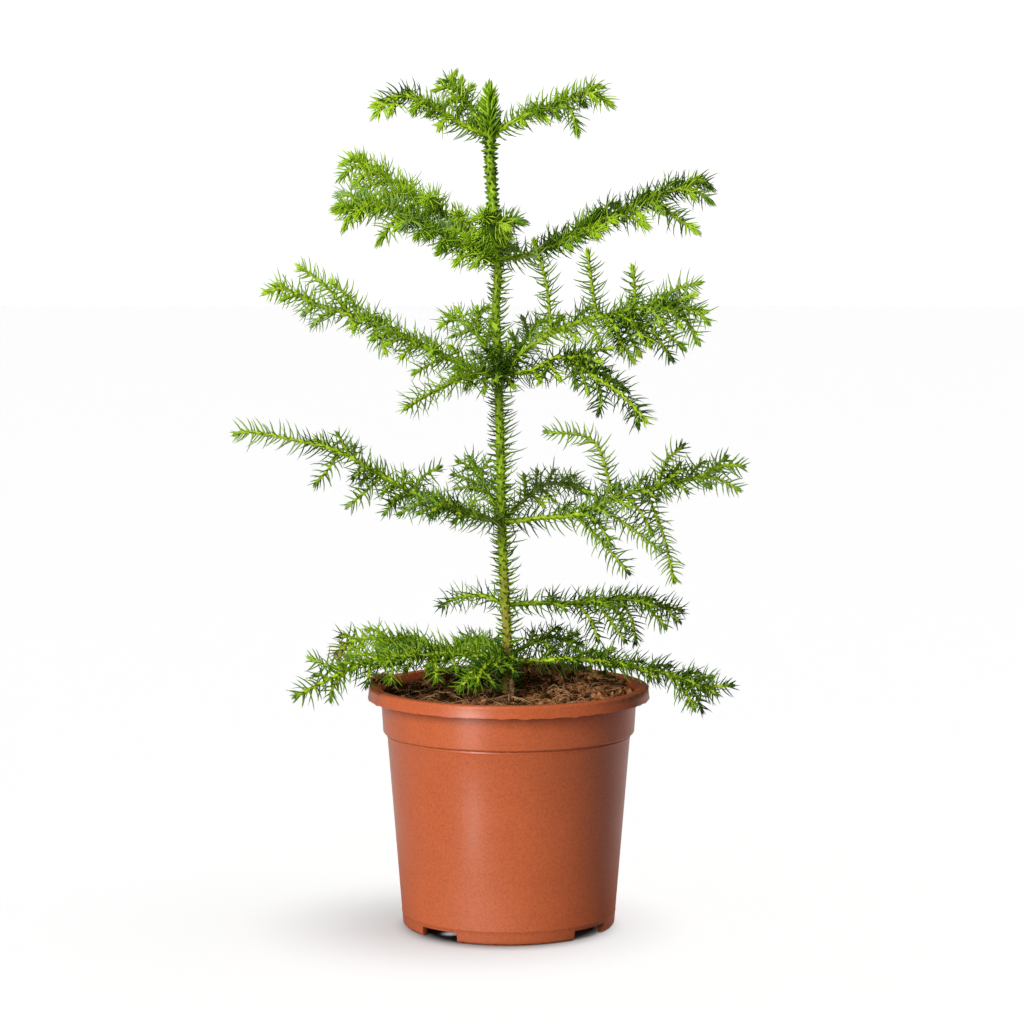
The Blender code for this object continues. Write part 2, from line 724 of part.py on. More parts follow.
def make_foliage(name, spec, line, parent, material, rng):
    """One closed, lobed mass of needles round the outer part of a bough."""
    start = foliage_start(spec)
    centre, direction = along(line, start)
    sideways = frond_axes(direction, spec["roll"])[0]
    narrow = {1: sideways * COLLAR_WIDTH, -1: -sideways * COLLAR_WIDTH}
    rings = [spray_ring(centre, direction, spec["roll"], narrow, COLLAR_WIDTH, rng)]
    for place, reach in side_shoots(spec, line, rng):
        shown = reach + reach.normalized() * NEEDLE_REACH
        stations = [(place, 1.0)]
        if reach.length > LONG_SHOOT:
            stations = [(place - PADDLE_STEP, PADDLE_SHARE), (place, 1.0)]
            stations.append((place + PADDLE_STEP, PADDLE_SHARE))
        for here, share in stations:
            thickness = SPRAY_HALF_THICKNESS + (SPRAY_TIP_THICKNESS - SPRAY_HALF_THICKNESS) * here**2
            centre, direction = along(line, here)
            side = 1 if reach.dot(frond_axes(direction, spec["roll"])[0]) > 0 else -1
            rings.append(spray_ring(centre, direction, spec["roll"], {side: shown * share}, thickness, rng))
    centre, direction = along(line, 1.0)
    rings.append(spray_ring(centre, direction, spec["roll"], {}, TIP_THICKNESS, rng))
    return add_object(name + "_foliage", loft(rings, centre + direction * TIP_BUD), material, parent)


def place_by_box(frame):
    """Moves the whole plant so that the middle of its box's underside is the origin."""
    bpy.context.view_layer.update()
    graph = bpy.context.evaluated_depsgraph_get()
    low = [math.inf, math.inf]
    high = [-math.inf, -math.inf]
    for obj in frame.children:
        if obj.hide_render:
            continue
        shown = obj.evaluated_get(graph)
        for vertex in shown.to_mesh().vertices:
            point = shown.matrix_world @ vertex.co
            for axis in (0, 1):
                low[axis] = min(low[axis], point[axis])
                high[axis] = max(high[axis], point[axis])
        shown.to_mesh_clear()
    frame.location = (-0.5 * (low[0] + high[0]), -0.5 * (low[1] + high[1]), 0.0)


def main():
    clear_scene()
    rng = random.Random(SEED)
    frame = bpy.data.objects.new("plant_frame", None)
    bpy.context.scene.collection.objects.link(frame)
    make_pot(frame)
    make_soil(frame, rng)
    make_trunk(frame)
    make_leader(frame, rng)
    wood = make_material("boughs", BOUGH_COLOUR, PLANT_ROUGHNESS)
    needles = make_material("needles", NEEDLE_COLOUR, PLANT_ROUGHNESS)
    for name, spec in BOUGHS.items():
        line = bough_line(name, spec)
        make_bough(name, spec, line, frame, wood)
        make_foliage(name, spec, line, frame, needles, rng)
    place_by_box(frame)


main()
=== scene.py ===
"""A young Norfolk Island pine in its terracotta-coloured nursery pot, on a pale studio floor.

Metres, +Z up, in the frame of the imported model. Azimuths are in degrees: 0 is to the right (+X), 90 is away
(+Y) and 270 is towards the camera. Shoots grow on from the trunk by a table of boughs and a seeded rule.
"""

import math
import random

import bmesh
import bpy
import numpy as np
from mathutils import Matrix, Vector, noise


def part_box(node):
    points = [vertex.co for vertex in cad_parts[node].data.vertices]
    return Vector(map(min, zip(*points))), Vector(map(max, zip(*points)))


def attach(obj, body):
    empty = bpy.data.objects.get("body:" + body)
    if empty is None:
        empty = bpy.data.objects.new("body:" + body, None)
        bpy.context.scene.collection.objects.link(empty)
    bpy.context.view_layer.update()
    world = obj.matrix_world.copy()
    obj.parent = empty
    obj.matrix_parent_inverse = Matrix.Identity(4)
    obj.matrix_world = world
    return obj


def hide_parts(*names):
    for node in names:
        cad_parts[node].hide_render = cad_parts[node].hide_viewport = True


bl_info = {
    "name": "Potted Norfolk Island Pine",
    "version": (1, 0, 0),
    "blender": (4, 5, 0),
    "location": "3D View > Sidebar > Pine",
    "description": "Builds a young Norfolk Island pine in its nursery pot and a pale studio round it",
    "category": "Add Mesh",
}

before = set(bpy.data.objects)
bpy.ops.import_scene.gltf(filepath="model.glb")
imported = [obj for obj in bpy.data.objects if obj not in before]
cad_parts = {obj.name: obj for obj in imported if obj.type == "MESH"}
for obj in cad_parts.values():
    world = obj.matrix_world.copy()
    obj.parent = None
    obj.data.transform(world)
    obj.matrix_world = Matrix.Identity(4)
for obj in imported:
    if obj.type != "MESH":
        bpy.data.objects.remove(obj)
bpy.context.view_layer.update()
POT_LOW, POT_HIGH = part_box("pot")
POT_AXIS = Vector(((POT_LOW.x + POT_HIGH.x) / 2, (POT_LOW.y + POT_HIGH.y) / 2, 0.0))
BOUGH_NODES = sorted(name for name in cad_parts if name.endswith("_bough"))
FOLIAGE_NODES = sorted(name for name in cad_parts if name.endswith("_foliage"))

BODY = "root"
MILLIMETRE = 0.001
SEED = 11
GOLDEN_ANGLE = math.radians(137.508)
PIECE_TRIANGLES = 190000

# The pot, a thin moulded shell turned about its axis
RIM_HEIGHT = POT_HIGH.z
RIM_RADIUS = (POT_HIGH.x - POT_LOW.x) / 2
COLLAR_TOP_RADIUS = RIM_RADIUS - 0.0060
COLLAR_FOOT_RADIUS = RIM_RADIUS - 0.0070
COLLAR_FOOT_HEIGHT = RIM_HEIGHT - 0.0215
BODY_TOP_RADIUS = RIM_RADIUS - 0.0088
BODY_FOOT_RADIUS = RIM_RADIUS - 0.0160
LIP_DROP = 0.0055
LIP_INSIDE = RIM_RADIUS - 0.0056
WALL = 0.0015
BASE_UNDERSIDE = 0.0052
POT_SEGMENTS = 288
MOULD_LINE_HEIGHT = 0.0063
# How far the ragged edge under its lip hangs down, and the azimuth and length of its small nub
RAGGED_EDGE = 0.00055
NUB_AZIMUTH = -63.0
NUB_LENGTH = 0.0010
# Its plastic's mottling (place in the noise, colour) and its flecks (scale, reach, colour, share)
POT_MOTTLE = ((0.32, (0.80, 0.78, 0.76)), (0.50, (1.0, 1.0, 1.0)), (0.70, (1.16, 1.14, 1.12)))
POT_FLECKS = ((420.0, 0.075, (0.58, 0.20, 0.10), 0.55), (260.0, 0.05, (0.16, 0.04, 0.02), 0.6))
# The peat brown of the painted shade inside the pot below its lip, and of the dust on its lip at the right
PEAT_DUST_AND_SHADE = (0.085, 0.038, 0.015)
FOOT_NOTCHES = 4
NOTCH_FIRST_AZIMUTH = 229.5
NOTCH_WIDTH = 0.0208
NOTCH_HEIGHT = 0.0045
DRAIN_HOLES = 8
DRAIN_RADIUS = 0.0032
DRAIN_CIRCLE = 0.0360

# The trunk: bends are (shift to the right of the pot's axis, height above the soil) from foot to tip
TRUNK_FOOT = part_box("trunk")[0].z
TRUNK_BENDS = (
    (-0.0003, 0.0),
    (-0.0008, 0.028),
    (-0.0030, 0.072),
    (-0.0042, 0.128),
    (-0.0058, 0.176),
    (-0.0050, 0.196),
    (-0.0081, 0.240),
    (-0.0086, 0.2770),
)
TRUNK_FOOT_RADIUS = 0.0021
TRUNK_TOP_RADIUS = 0.0016
TRUNK_TIP_RADIUS = 0.0004
TRUNK_TAPER_ENDS = 0.925
ROOT_FLARE = 0.0010
FLARE_HEIGHT = 0.006
TRUNK_SIDES = 30
TRUNK_NEEDLE_STEP = 0.00033
# How long the trunk's needles are: (height above the soil, length)
TRUNK_NEEDLES = (
    (0.000, 0.0060),
    (0.030, 0.0062),
    (0.066, 0.0070),
    (0.110, 0.0074),
    (0.140, 0.0066),
    (0.170, 0.0056),
    (0.205, 0.0056),
    (0.216, 0.0040),
    (0.224, 0.0024),
    (0.246, 0.0023),
    (0.253, 0.0036),
    (0.258, 0.0056),
    (0.266, 0.0060),
    (0.276, 0.0052),
)
# Where the stout short knobs and the leader's brush begin, along the trunk, and how stout their needles are
TRUNK_KNOBS_FROM = 0.212
KNOB_STOUT = 2.3
LEADER_FROM = 0.255
LEADER_STOUT = 1.7
LEADER_STEP = 0.52
LEADER_OPENING = 0.0045
LEADER_YOUNG = 0.013
TRUNK_SHADES = ("mid", "mid", "deep", "light")
KNOB_SHADES = ("mid", "mid", "light", "deep", "deep")
LEADER_SHADES = ("light", "mid", "mid", "deep")
LEADER_YOUNG_SHADES = ("fresh", "light", "light", "mid")
# How high the ridges of the trunk's cushions are: (distance along the trunk, height)
TRUNK_RIDGES = ((0.0, 0.00040), (0.200, 0.00050), (0.220, 0.00090))
LEADER_RIDGE = 0.00060
# How high the tan of the trunk's foot reaches above the soil, and where its scars are
TAN_HEIGHT = 0.075
SCAR_HEIGHT = 0.020
SCAR_COLOUR = (0.12, 0.035, 0.018)

# Boughs and side shoots taper from their roots to their tips
BOUGH_RADIUS = 0.00105
BOUGH_TIP_RADIUS = 0.00046
SHOOT_RADIUS = 0.00052
SHOOT_TIP_RADIUS = 0.00034
PATH_STEPS = 48
SHOOT_STEPS = 20
STEM_STEP = 0.00055
BOUGH_SIDES = 12
SHOOT_SIDES = 8
# How the needles of shoots vary: as shares of their length, step and width, and in degrees
NEEDLE_LENGTHS = (0.72, 1.14)
NEEDLE_STEPS = (0.8, 1.2)
NEEDLE_WIDTHS = (0.88, 1.12)
NEEDLE_LEANS = (64, 94)
NEEDLE_CURLS = (14, 52)
NEEDLE_SWAYS = (-0.20, 0.20)
NEEDLE_TURNS = (-0.14, 0.14)
# Where needles start and end on a shoot, and how much shorter those of side shoots are
NEEDLES_START = 0.4 * MILLIMETRE
NEEDLES_END = 0.2 * MILLIMETRE
STEM_CLEAR = 0.0008
SHOOT_NEEDLES = 0.92
# One colour of needle lasts this long along a shoot
SPRAY_LENGTH = 0.016
# Towards its tip a shoot's needles close up, over this length or this share of the shoot
CLOSING_LENGTH = 0.0070
CLOSING_SHARE = 0.40
# The cushion under a needle: length, half width, and how far it runs on above the needle as a share
CUSHION_SIZE = (0.0022, 0.00045)
TRUNK_CUSHION = (0.0030, 0.00070)
KNOB_CUSHION = (0.0030, 0.00095)
CUSHION_TOP = 0.30
# The brush at a shoot's tip: how deep its stem ends in it, and how long its needles are
BRUSH_DEPTH = 0.0034
BRUSH_NEEDLE = 0.0072

# Side shoots made by rule: their lean in degrees, the last pair's place, the shift between the two of a
# pair, how much shorter the last are than the first, and how uneven their lengths are
SHOOT_LEAN = 58.0
LAST_PAIR = 0.88
PAIR_STEP = 0.06
LEAST_SHOOT = 0.60
UNEVEN = 0.14
# The share of side shoots whose tips are of the fresh colour
FRESH_SHARE = 0.6

# A needle's rings: place along it, half width along the shoot and across it, as shares of its half width
NEEDLE_RINGS = ((0.06, 1.25, 0.90), (0.20, 0.98, 0.78), (0.48, 0.82, 0.68), (0.76, 0.54, 0.46))
FOOT_RINGS = ((0.0, 1.95, 1.05), (0.19, 0.90, 0.72))

# The soil in the pot
SOIL_RINGS = 64
SOIL_SEGMENTS = 208
SOIL_RADIUS = COLLAR_TOP_RADIUS - WALL + 0.0010
# The skirt that runs down inside the pot's wall: (radius, height), the last the soil's underside
SOIL_SKIRT = ((SOIL_RADIUS - 0.0022, COLLAR_FOOT_HEIGHT + 0.002), (0.0540, 0.0850), (0.0485, 0.0075))
# Piles and a hollow on it: (right and away from the pot's axis, spread, height)
SOIL_PILES = (
    (0.040, -0.006, 0.017, 0.0026),
    (0.030, 0.040, 0.020, 0.0020),
    (-0.026, -0.034, 0.012, 0.0014),
    (-0.004, -0.018, 0.010, -0.0012),
)
# Where the crumbs turn from dark to brown, and how many loose things lie on the soil
BROWN_FROM = 0.006
CLODS = 70
RIM_CRUMBS = 120
CHIPS = 70
ROOTS = 130
RIM_STRANDS = 26
RIM_AZIMUTH = 172
STUB_ROOTS = 9
STUB_KNOTS = 22
STUB_PLACE = Vector((0.0002, -0.0235, TRUNK_FOOT))

# The camera: where it stands from the pot's axis, what it looks at, and its focal length on a 36 mm sensor
CAMERA_PLACE = Vector((0.0015, -1.372, 0.318))
CAMERA_TARGET = Vector((0.0015, 0.0, 0.191))
CAMERA_SENSOR = 36.0
CAMERA_LENS = 105.5

# A round flag that shades the floor under the pot and just in front of it
FLAG_RADIUS = 0.0465
FLAG_PLACE = (0.0, -0.0075, 0.013)

TIER_HEIGHTS = {
    "tier1": 0.3620,
    "tier2": 0.3070,
    "tier3": 0.2550,
    "tier4": 0.1860,
    "tier5": 0.1480,
    "tier6": 0.1235,
}

# Each tier's needles: length, step between them along a shoot, and how its sprays share the colours
# The shares of light and deep needles also paint the light and shade that each tier gets
TIER_NEEDLES = {
    "tier1": (0.0086, 0.00040, (("light", 2), ("mid", 5), ("deep", 3))),
    "tier2": (0.0098, 0.00040, (("light", 3), ("mid", 6), ("deep", 3), ("pale", 1))),
    "tier3": (0.0094, 0.00052, (("light", 5), ("mid", 6), ("deep", 1), ("pale", 2))),
    "tier4": (0.0092, 0.00058, (("light", 3), ("mid", 5), ("deep", 3), ("pale", 3))),
    "tier5": (0.0088, 0.00054, (("mid", 5), ("deep", 6))),
    "tier6": (0.0092, 0.00050, (("mid", 7), ("deep", 3), ("light", 4))),
}
# Boughs whose sprays share the colours in their own way, which also paints light and shade on whole boughs
BOUGH_SHARES_AND_PAINTED_LIGHT = {
    "tier1_right": (("light", 4), ("mid", 5), ("deep", 1)),
    "tier2_left_back": (("light", 7), ("fresh", 4), ("pale", 3)),
    "tier2_left_front": (("light", 8), ("mid", 3), ("pale", 3), ("fresh", 1)),
    "tier2_right": (("light", 1), ("mid", 5), ("deep", 6)),
    "tier2_front": (("deep", 4), ("mid", 4)),
    "tier3_left": (("light", 8), ("mid", 3), ("pale", 3)),
    "tier3_front_left": (("light", 5), ("mid", 3), ("pale", 2)),
    "tier3_left_back": (("light", 6), ("mid", 3), ("pale", 2)),
    "tier3_right_back": (("light", 6), ("mid", 3), ("pale", 2)),
    "tier3_front_right": (("deep", 9), ("mid", 1)),
    "tier4_left": (("light", 2), ("mid", 8), ("pale", 3), ("deep", 2)),
    "tier4_right_back": (("fresh", 3), ("pale", 6), ("light", 2)),
    "tier6_right": (("deep", 7), ("mid", 6)),
    "tier6_right_back": (("deep", 8), ("mid", 2)),
}
# Boughs that have withered side shoots, and the places of these along them
WITHERED = {"tier6_left": (0.80, 0.86)}
# How long each tier's fresh tips are, how far the tips of its side shoots nod, and the size of their brushes
TIER_TIPS = {
    "tier1": (0.0050, 0.0012, 0.85),
    "tier2": (0.0044, 0.0032, 0.95),
    "tier3": (0.0020, 0.0008, 0.55),
    "tier4": (0.0, 0.0004, 0.36),
    "tier5": (0.0, 0.0004, 0.36),
    "tier6": (0.0, 0.0004, 0.45),
}


def bough(azimuth, path, longest=0.016, pairs=4, roll=0.0, first=0.34, seat=0.0, named=()):
    """One bough. path holds (reach, rise) at even steps along it in tenths of a millimetre, to its tip.

    Its side shoots come in pairs by a rule, the longest first, unless named lists them one by one: the place
    along the bough in hundredths, then forwards, to the left and up in millimetres from the shoot's root to
    its tip. A bent shoot has three numbers more, from its root to its middle.
    """
    return {
        "azimuth": azimuth,
        "path": [(reach / 10000, rise / 10000) for reach, rise in path],
        "longest": longest,
        "pairs": pairs,
        "roll": roll,
        "first": first,
        "seat": seat,
        "named": [(place / 100, *(step / 1000 for step in steps)) for place, *steps in named],
    }


BOUGHS = {
    "tier1_left": bough(
        185,
        ((151, 69), (296, 160), (427, 182), (531, 88)),
        named=(
            (31, 5, 8, -5), (46, 9, 9, -2), (38, 6, 8, -2), (69, 6, 5, -8), (33, 8, -11, 6),
            (56, 6, -10, 4), (50, 6, 10, -5), (81, 8, -6, -2),
        ),
    ),
    "tier1_left_back": bough(
        125,
        ((90, 79), (203, 182), (327, 278)),
        named=(
            (77, 1, -2, 7), (96, 1, -3, 5), (56, -4, 9, -4), (65, -1, 12, -2), (54, 0, 11, 4),
            (75, 0, 15, 2), (46, 1, -7, 6), (69, 2, -7, 6), (88, 1, 8, 2),
        ),
    ),
    "tier1_right": bough(
        5,
        ((104, 69), (234, 127), (355, 172), (455, 208), (561, 141)),
        named=(
            (62, 6, -7, -3), (31, 8, -9, -2), (71, 7, -7, -3), (25, 1, -10, -2), (25, 8, 9, 7),
            (38, -2, -13, -1), (42, 6, -8, -4), (48, 11, -7, -13, 8, -4, -3), (54, 4, 9, 5), (75, 9, 5, 3),
        ),
    ),
    "tier1_back": bough(100, ((120, 50), (230, 70), (330, 50)), pairs=3, longest=0.008),
    "tier2_left_back": bough(
        160,
        ((221, 170), (487, 340), (726, 475)),
        named=(
            (48, 3, 18, 0), (60, 5, 17, -4), (75, 9, 18, -2), (92, 7, 7, 1), (42, 1, 19, -1),
            (10, 2, 11, 9), (15, -3, -5, 9), (23, -4, 22, 12), (38, 0, 26, 9), (52, 8, 26, 5),
            (67, 10, 23, -2), (83, 11, 15, -2), (23, 11, -13, 12), (42, 10, -11, 10), (56, 13, -9, 8),
            (71, 11, -7, 8), (88, 5, -4, 6),
        ),
    ),
    "tier2_left_front": bough(
        203,
        ((296, 142), (522, 253), (788, 230)),
        seat=-0.0022,
        named=(
            (42, 9, -10, 4), (58, 15, 2, 2), (71, 12, -10, 3), (46, 14, 7, -1), (31, 11, 8, 1),
            (12, 4, -4, 13), (22, 6, -6, 12), (81, 11, 0, -7, 7, 0, -3), (6, 10, 9, -1), (10, 16, 9, -2),
            (15, 18, 5, 1), (10, 11, 8, 11), (17, 9, 3, 10), (23, 12, 9, 0), (33, 15, 10, 0),
            (44, 13, 10, 0), (56, 15, 5, -11, 7, 3, -4), (75, 12, 5, -3), (88, 10, 1, 3), (27, 2, -14, 7),
            (38, 4, -15, 8), (52, 5, -14, 6), (67, 8, -13, 5), (79, 12, -13, 8),
        ),
    ),
    "tier2_right": bough(
        15,
        ((121, 11), (297, 74), (488, 175), (728, 272), (985, 374)),
        named=(
            (40, 6, -14, 3), (52, 7, -14, 3), (53, 1, -13, -1), (55, 3, -5, 8), (69, 6, -14, -1),
            (77, 6, -12, -2), (56, 9, 8, 7), (77, 10, 6, 6), (29, 9, 2, 5), (88, 9, -9, -1), (33, 9, 11, 9),
            (35, 6, -14, 2), (46, 12, 11, 9), (48, 7, -16, 2), (58, 5, -17, 3), (60, 12, 9, 10),
            (65, 13, -16, -3), (73, 11, 7, 7), (81, 18, -13, -13, 7, -6, -7), (83, 12, 5, 9),
            (92, 12, -8, -5), (96, 8, -5, -1),
        ),
    ),
    "tier2_front": bough(
        262,
        ((150, 102), (300, 164), (440, 199)),
        named=(
            (40, 7, -5, 2), (46, 5, 10, -1), (30, 4, 13, 11), (42, 4, 16, 7), (62, 3, 17, 3),
            (65, 8, -5, 4), (71, 4, 11, -1), (85, 6, 1, 4),
        ),
    ),
    "tier2_back": bough(92, ((180, 50), (370, 80), (540, 80)), longest=0.013),
    "tier3_left": bough(
        185,
        ((165, 40), (357, 127), (584, 237), (820, 310), (969, 383), (1068, 360)),
        named=(
            (33, 10, 11, -5), (38, 10, 11, -2), (31, 9, -11, 6), (46, 9, -11, 6), (42, 11, 9, -2),
            (12, 10, 9, -4), (17, 6, 4, 9), (23, 16, 11, -6), (25, 7, -15, 8), (29, 1, 15, 0),
            (50, -7, 7, -14, -4, 4, -7), (40, 10, -14, 8), (50, 9, 11, -2), (52, 15, -7, 18, 6, -4, 9),
            (56, 24, -12, 23, 11, -6, 13), (56, -1, 6, -7), (60, 12, 8, -6), (67, 7, 7, -4), (67, 6, -9, 5),
            (75, 8, 5, -1), (81, 7, -6, 3),
        ),
    ),
    "tier3_left_back": bough(
        128,
        ((105, 123), (227, 212), (412, 259)),
        named=(
            (46, 5, -3, 14), (56, 0, 13, -2), (73, 6, 0, 7), (33, 6, -9, 12), (83, 0, 10, -3),
            (62, 1, -11, 10),
        ),
    ),
    "tier3_right": bough(
        350,
        ((171, 136), (342, 224), (539, 274), (744, 311), (953, 281)),
        named=(
            (71, 12, -12, -6), (75, 14, -10, -3), (60, 11, -12, -4), (81, 10, 12, 2), (54, 9, -13, -5),
            (29, -6, -13, 43, -1, -7, 22), (33, 11, -10, -4), (40, 7, 13, 8), (52, -4, -5, 31, -2, -3, 14),
            (54, 6, -9, -9), (58, 12, -8, -21, 5, -5, -11), (62, 7, 13, 8), (62, 10, -2, -19, 4, -1, -9),
            (64, 13, -10, -14), (46, 8, -6, -10), (28, 6, 2, 9), (58, 6, -7, -17, 4, -4, -9),
            (65, 9, -13, -11), (67, 10, -8, -16), (69, -1, -3, 20, 0, -2, 11),
            (71, 16, -6, -23, 8, -4, -12), (77, 15, -4, -19, 7, -3, -12), (75, 10, -10, 5),
            (77, 21, 8, 11, 9, 4, 7), (85, 12, -4, 6), (83, 8, -11, -9), (88, 10, -4, -16, 5, -2, -8),
            (92, 10, -2, -6),
        ),
    ),
    "tier3_front_right": bough(
        314,
        ((209, 14), (414, 83), (620, 1), (787, -72), (938, -184)),
        named=(
            (40, 14, 0, -2), (46, 15, 1, -3), (50, 7, -1, -12), (56, 5, 10, -3), (31, 11, -3, -7),
            (65, 2, 11, -2), (2, 11, -20, 12), (4, 15, -11, 14), (2, 16, -18, -2), (4, 12, -5, -6),
            (8, 14, -6, 11), (17, 12, -2, -2), (33, -7, -1, -10), (40, 20, 12, 5, 11, 6, 3),
            (42, 21, 2, -1), (44, 4, 1, -12), (54, 2, 13, 0), (60, 3, -1, -16, 3, 1, -9), (71, 1, 10, -2),
            (88, 4, 0, -9),
        ),
    ),
    "tier3_right_back": bough(
        58,
        ((155, 75), (261, 164), (367, 231)),
        named=(
            (38, 1, 5, 10), (56, 11, -6, 4), (67, 4, 6, 9), (77, 12, -4, 6),
        ),
    ),
    "tier3_front_left": bough(
        235,
        ((188, 1), (447, -52), (714, -133)),
        named=(
            (15, 17, 3, 11), (17, 9, 5, -8), (29, 8, -1, -6), (35, 8, -5, 4),
        ),
    ),
    "tier4_left": bough(
        183,
        ((215, 56), (398, 135), (581, 241), (763, 338), (968, 389), (1149, 422), (1227, 408)),
        named=(
            (19, 6, -10, 6), (31, 9, 10, -5), (38, 8, -8, 4), (42, 8, 8, -5), (23, 10, 12, -2),
            (17, 8, 12, -3), (19, 11, 15, -2), (23, 15, 9, -5), (29, 14, 5, -9), (25, 7, -14, 7),
            (29, -13, -9, 12, -4, -5, 7), (33, -1, 6, 9), (35, 7, 14, -3), (40, 17, 4, -14, 8, 2, -7),
            (44, 9, 13, -3), (56, 11, 3, -15, 4, 2, -7), (52, 6, 6, 12), (50, 0, -8, 7), (58, 9, -8, 4),
        ),
    ),
    "tier4_right": bough(
        355,
        ((176, 24), (337, 39), (497, 109), (703, 175), (908, 222), (1021, 273), (1112, 265)),
        named=(
            (25, 8, 9, 5), (31, 9, -9, -3), (35, 10, -11, -2), (44, 9, -9, -3), (44, 7, 9, 6),
            (52, 10, -9, -3), (56, 9, -7, -3), (69, 8, -3, -4), (67, 8, 5, 8), (48, 13, -9, -17, 7, -5, -7),
            (33, 12, -8, -15, 7, -4, -6), (21, 6, 11, 6), (29, 25, -6, -26, 13, -3, -13),
            (35, 13, 11, 11, 5, 6, 5), (38, 30, -7, -20, 16, -4, -10), (44, -32, 3, 31, -9, 2, 26),
            (40, -11, 11, 6), (50, 6, 11, 7), (54, 14, -6, -42, 8, -3, -19), (58, 12, 5, 19, 4, 3, 11),
            (60, 10, -7, 8), (60, 7, 11, 9), (62, 8, -6, -4), (75, 9, 4, 8), (71, 19, -2, -6),
        ),
    ),
    "tier4_left_back": bough(
        108,
        ((148, 93), (334, 195), (524, 271)),
        named=(
            (40, -3, 18, 4), (50, -1, 17, 7), (44, 6, -7, 8), (67, 6, -7, 7), (71, 0, 11, 6),
            (58, -10, 9, -3),
        ),
    ),
    "tier4_right_back": bough(
        65,
        ((222, 78), (481, 138), (893, 107)),
        named=(
            (38, 3, 2, 12), (44, -4, -10, -4), (54, 6, 2, 10), (60, -2, -9, -6), (71, 7, 0, 7),
            (81, 9, -4, 4), (85, 1, -13, -5),
        ),
    ),
    "tier4_front_left": bough(
        236,
        ((192, 51), (350, 99), (520, 126)),
        named=(
            (46, 10, -3, -4), (50, 6, 8, 6), (67, 7, 7, -4), (67, 4, -10, 6), (85, 8, -4, -4),
        ),
    ),
    "tier5_right": bough(
        25,
        ((176, 0), (382, -11), (591, -3), (750, -30), (932, -77)),
        named=(
            (42, 7, -14, -1), (67, 7, -12, -2), (54, 5, -9, -14, 4, -6, -8), (25, 7, 12, 1),
            (27, 1, -11, -2), (38, 6, -12, -17, 4, -7, -7), (38, 16, 8, 0), (48, 9, -13, -18, 5, -7, -10),
            (50, 18, 7, 1), (60, 4, -9, -20, 3, -6, -9), (65, 16, 3, -1), (75, 8, -9, -12, 4, -5, -6),
            (83, 9, -9, -8),
        ),
    ),
    "tier5_left_back": bough(130, ((149, 28), (333, 6), (491, -56)), pairs=0),
    "tier6_left": bough(
        168,
        ((202, 30), (392, 48), (583, 75), (742, 57), (829, -12)),
        named=(
            (54, 8, 10, -1), (44, 9, -4, 1), (33, 3, 14, -2), (38, 12, -8, 3), (48, 4, 5, 5),
            (52, 5, 15, -2), (60, 11, -6, 3), (71, 5, 7, -8), (77, 10, -4, 1), (80, 1, 4, -9),
            (86, 2, 6, -7), (24, 3, 13, -4), (30, 4, 15, -9), (41, 6, 13, -11), (56, 3, 12, -10),
        ),
    ),
    "tier6_left_front": bough(
        204,
        ((189, 48), (388, 59), (608, 62), (778, 18), (932, -46), (1051, -97)),
        seat=-0.0024,
        named=(
            (42, 14, 7, -3), (44, 6, -14, 1), (58, 10, 4, -3), (29, 10, 6, -5), (35, 18, 12, -1),
            (38, 5, -11, 4), (48, 11, 6, -4), (52, 9, -13, 0), (62, 10, 0, 1), (67, 15, -13, 5, 7, -7, 1),
            (69, 8, 2, -13, 6, 0, -7), (77, 5, -8, 1), (24, 3, 12, -6), (31, 5, 13, -10), (47, 5, 9, -11),
            (57, 4, 6, -11),
        ),
    ),
    "tier6_right": bough(
        350,
        ((104, -13), (314, 2), (523, -21), (731, -52), (892, -108), (1047, -100)),
        named=(
            (40, 11, -10, -1), (56, 12, -8, -4), (38, 7, 11, 1), (73, 12, -4, -5), (73, 9, 8, 2),
            (21, 7, 11, 4), (27, 12, -10, 0), (33, 8, 11, 3), (42, 8, -1, 7), (44, 13, -10, -1),
            (52, 7, 11, 1), (60, 10, 8, 1), (67, 14, -5, -16, 9, -2, -8), (71, 12, 6, -17, 8, 4, -7),
            (79, 10, 6, 3), (81, 11, -2, -4),
        ),
    ),
    "tier6_right_back": bough(
        50,
        ((118, 37), (308, 65), (564, 0)),
        named=(
            (42, 6, 3, 6), (52, -1, -12, -4), (60, 11, -1, 4), (73, 2, -12, -6), (81, 9, -2, 2),
        ),
    ),
    "tier6_front": bough(
        250,
        ((150, 10), (300, -7), (420, -72)),
        named=(
            (46, 10, -4, -3), (50, 3, 7, -3), (71, 6, -5, -7), (75, 0, 7, -7), (20, 3, 11, -1),
            (38, 2, 12, -6), (30, 2, -13, 1), (40, 4, -14, -5), (60, 3, -13, -8), (84, 3, -10, -6),
        ),
    ),
    "tier6_left_back": bough(112, ((200, 20), (400, 30), (580, -20)), longest=0.015),
}


def colour_property(label, description, default):
    """A colour that a user can change, in linear light."""
    return bpy.props.FloatVectorProperty(
        name=label,
        description=description,
        subtype="COLOR",
        size=3,
        min=0.0,
        max=1.0,
        default=default,
    )


def length_property(label, description, default):
    """A length that a user can change."""
    return bpy.props.FloatProperty(
        name=label,
        description=description,
        subtype="DISTANCE",
        unit="LENGTH",
        min=0.0,
        default=default,
    )


class PineSizes(bpy.types.PropertyGroup):
    """Sizes of the plant's small parts."""

    needle_half_width: length_property("Needle half width", "Half a needle's width near its foot", 0.00037)
    needle_foot: length_property("Needle root", "How deep a needle starts inside its shoot", 0.0002)
    cushion_height: length_property("Cushion height", "How far a needle's cushion stands out", 0.00032)
    soil_lump: length_property("Soil lumps", "How high the lumps of the soil are", 0.0024)
    crumbs: bpy.props.IntProperty(name="Crumbs", description="Loose crumbs on the soil", min=0, default=3200)
    fibres: bpy.props.IntProperty(name="Fibres", description="Fibres in the soil", min=0, default=560)


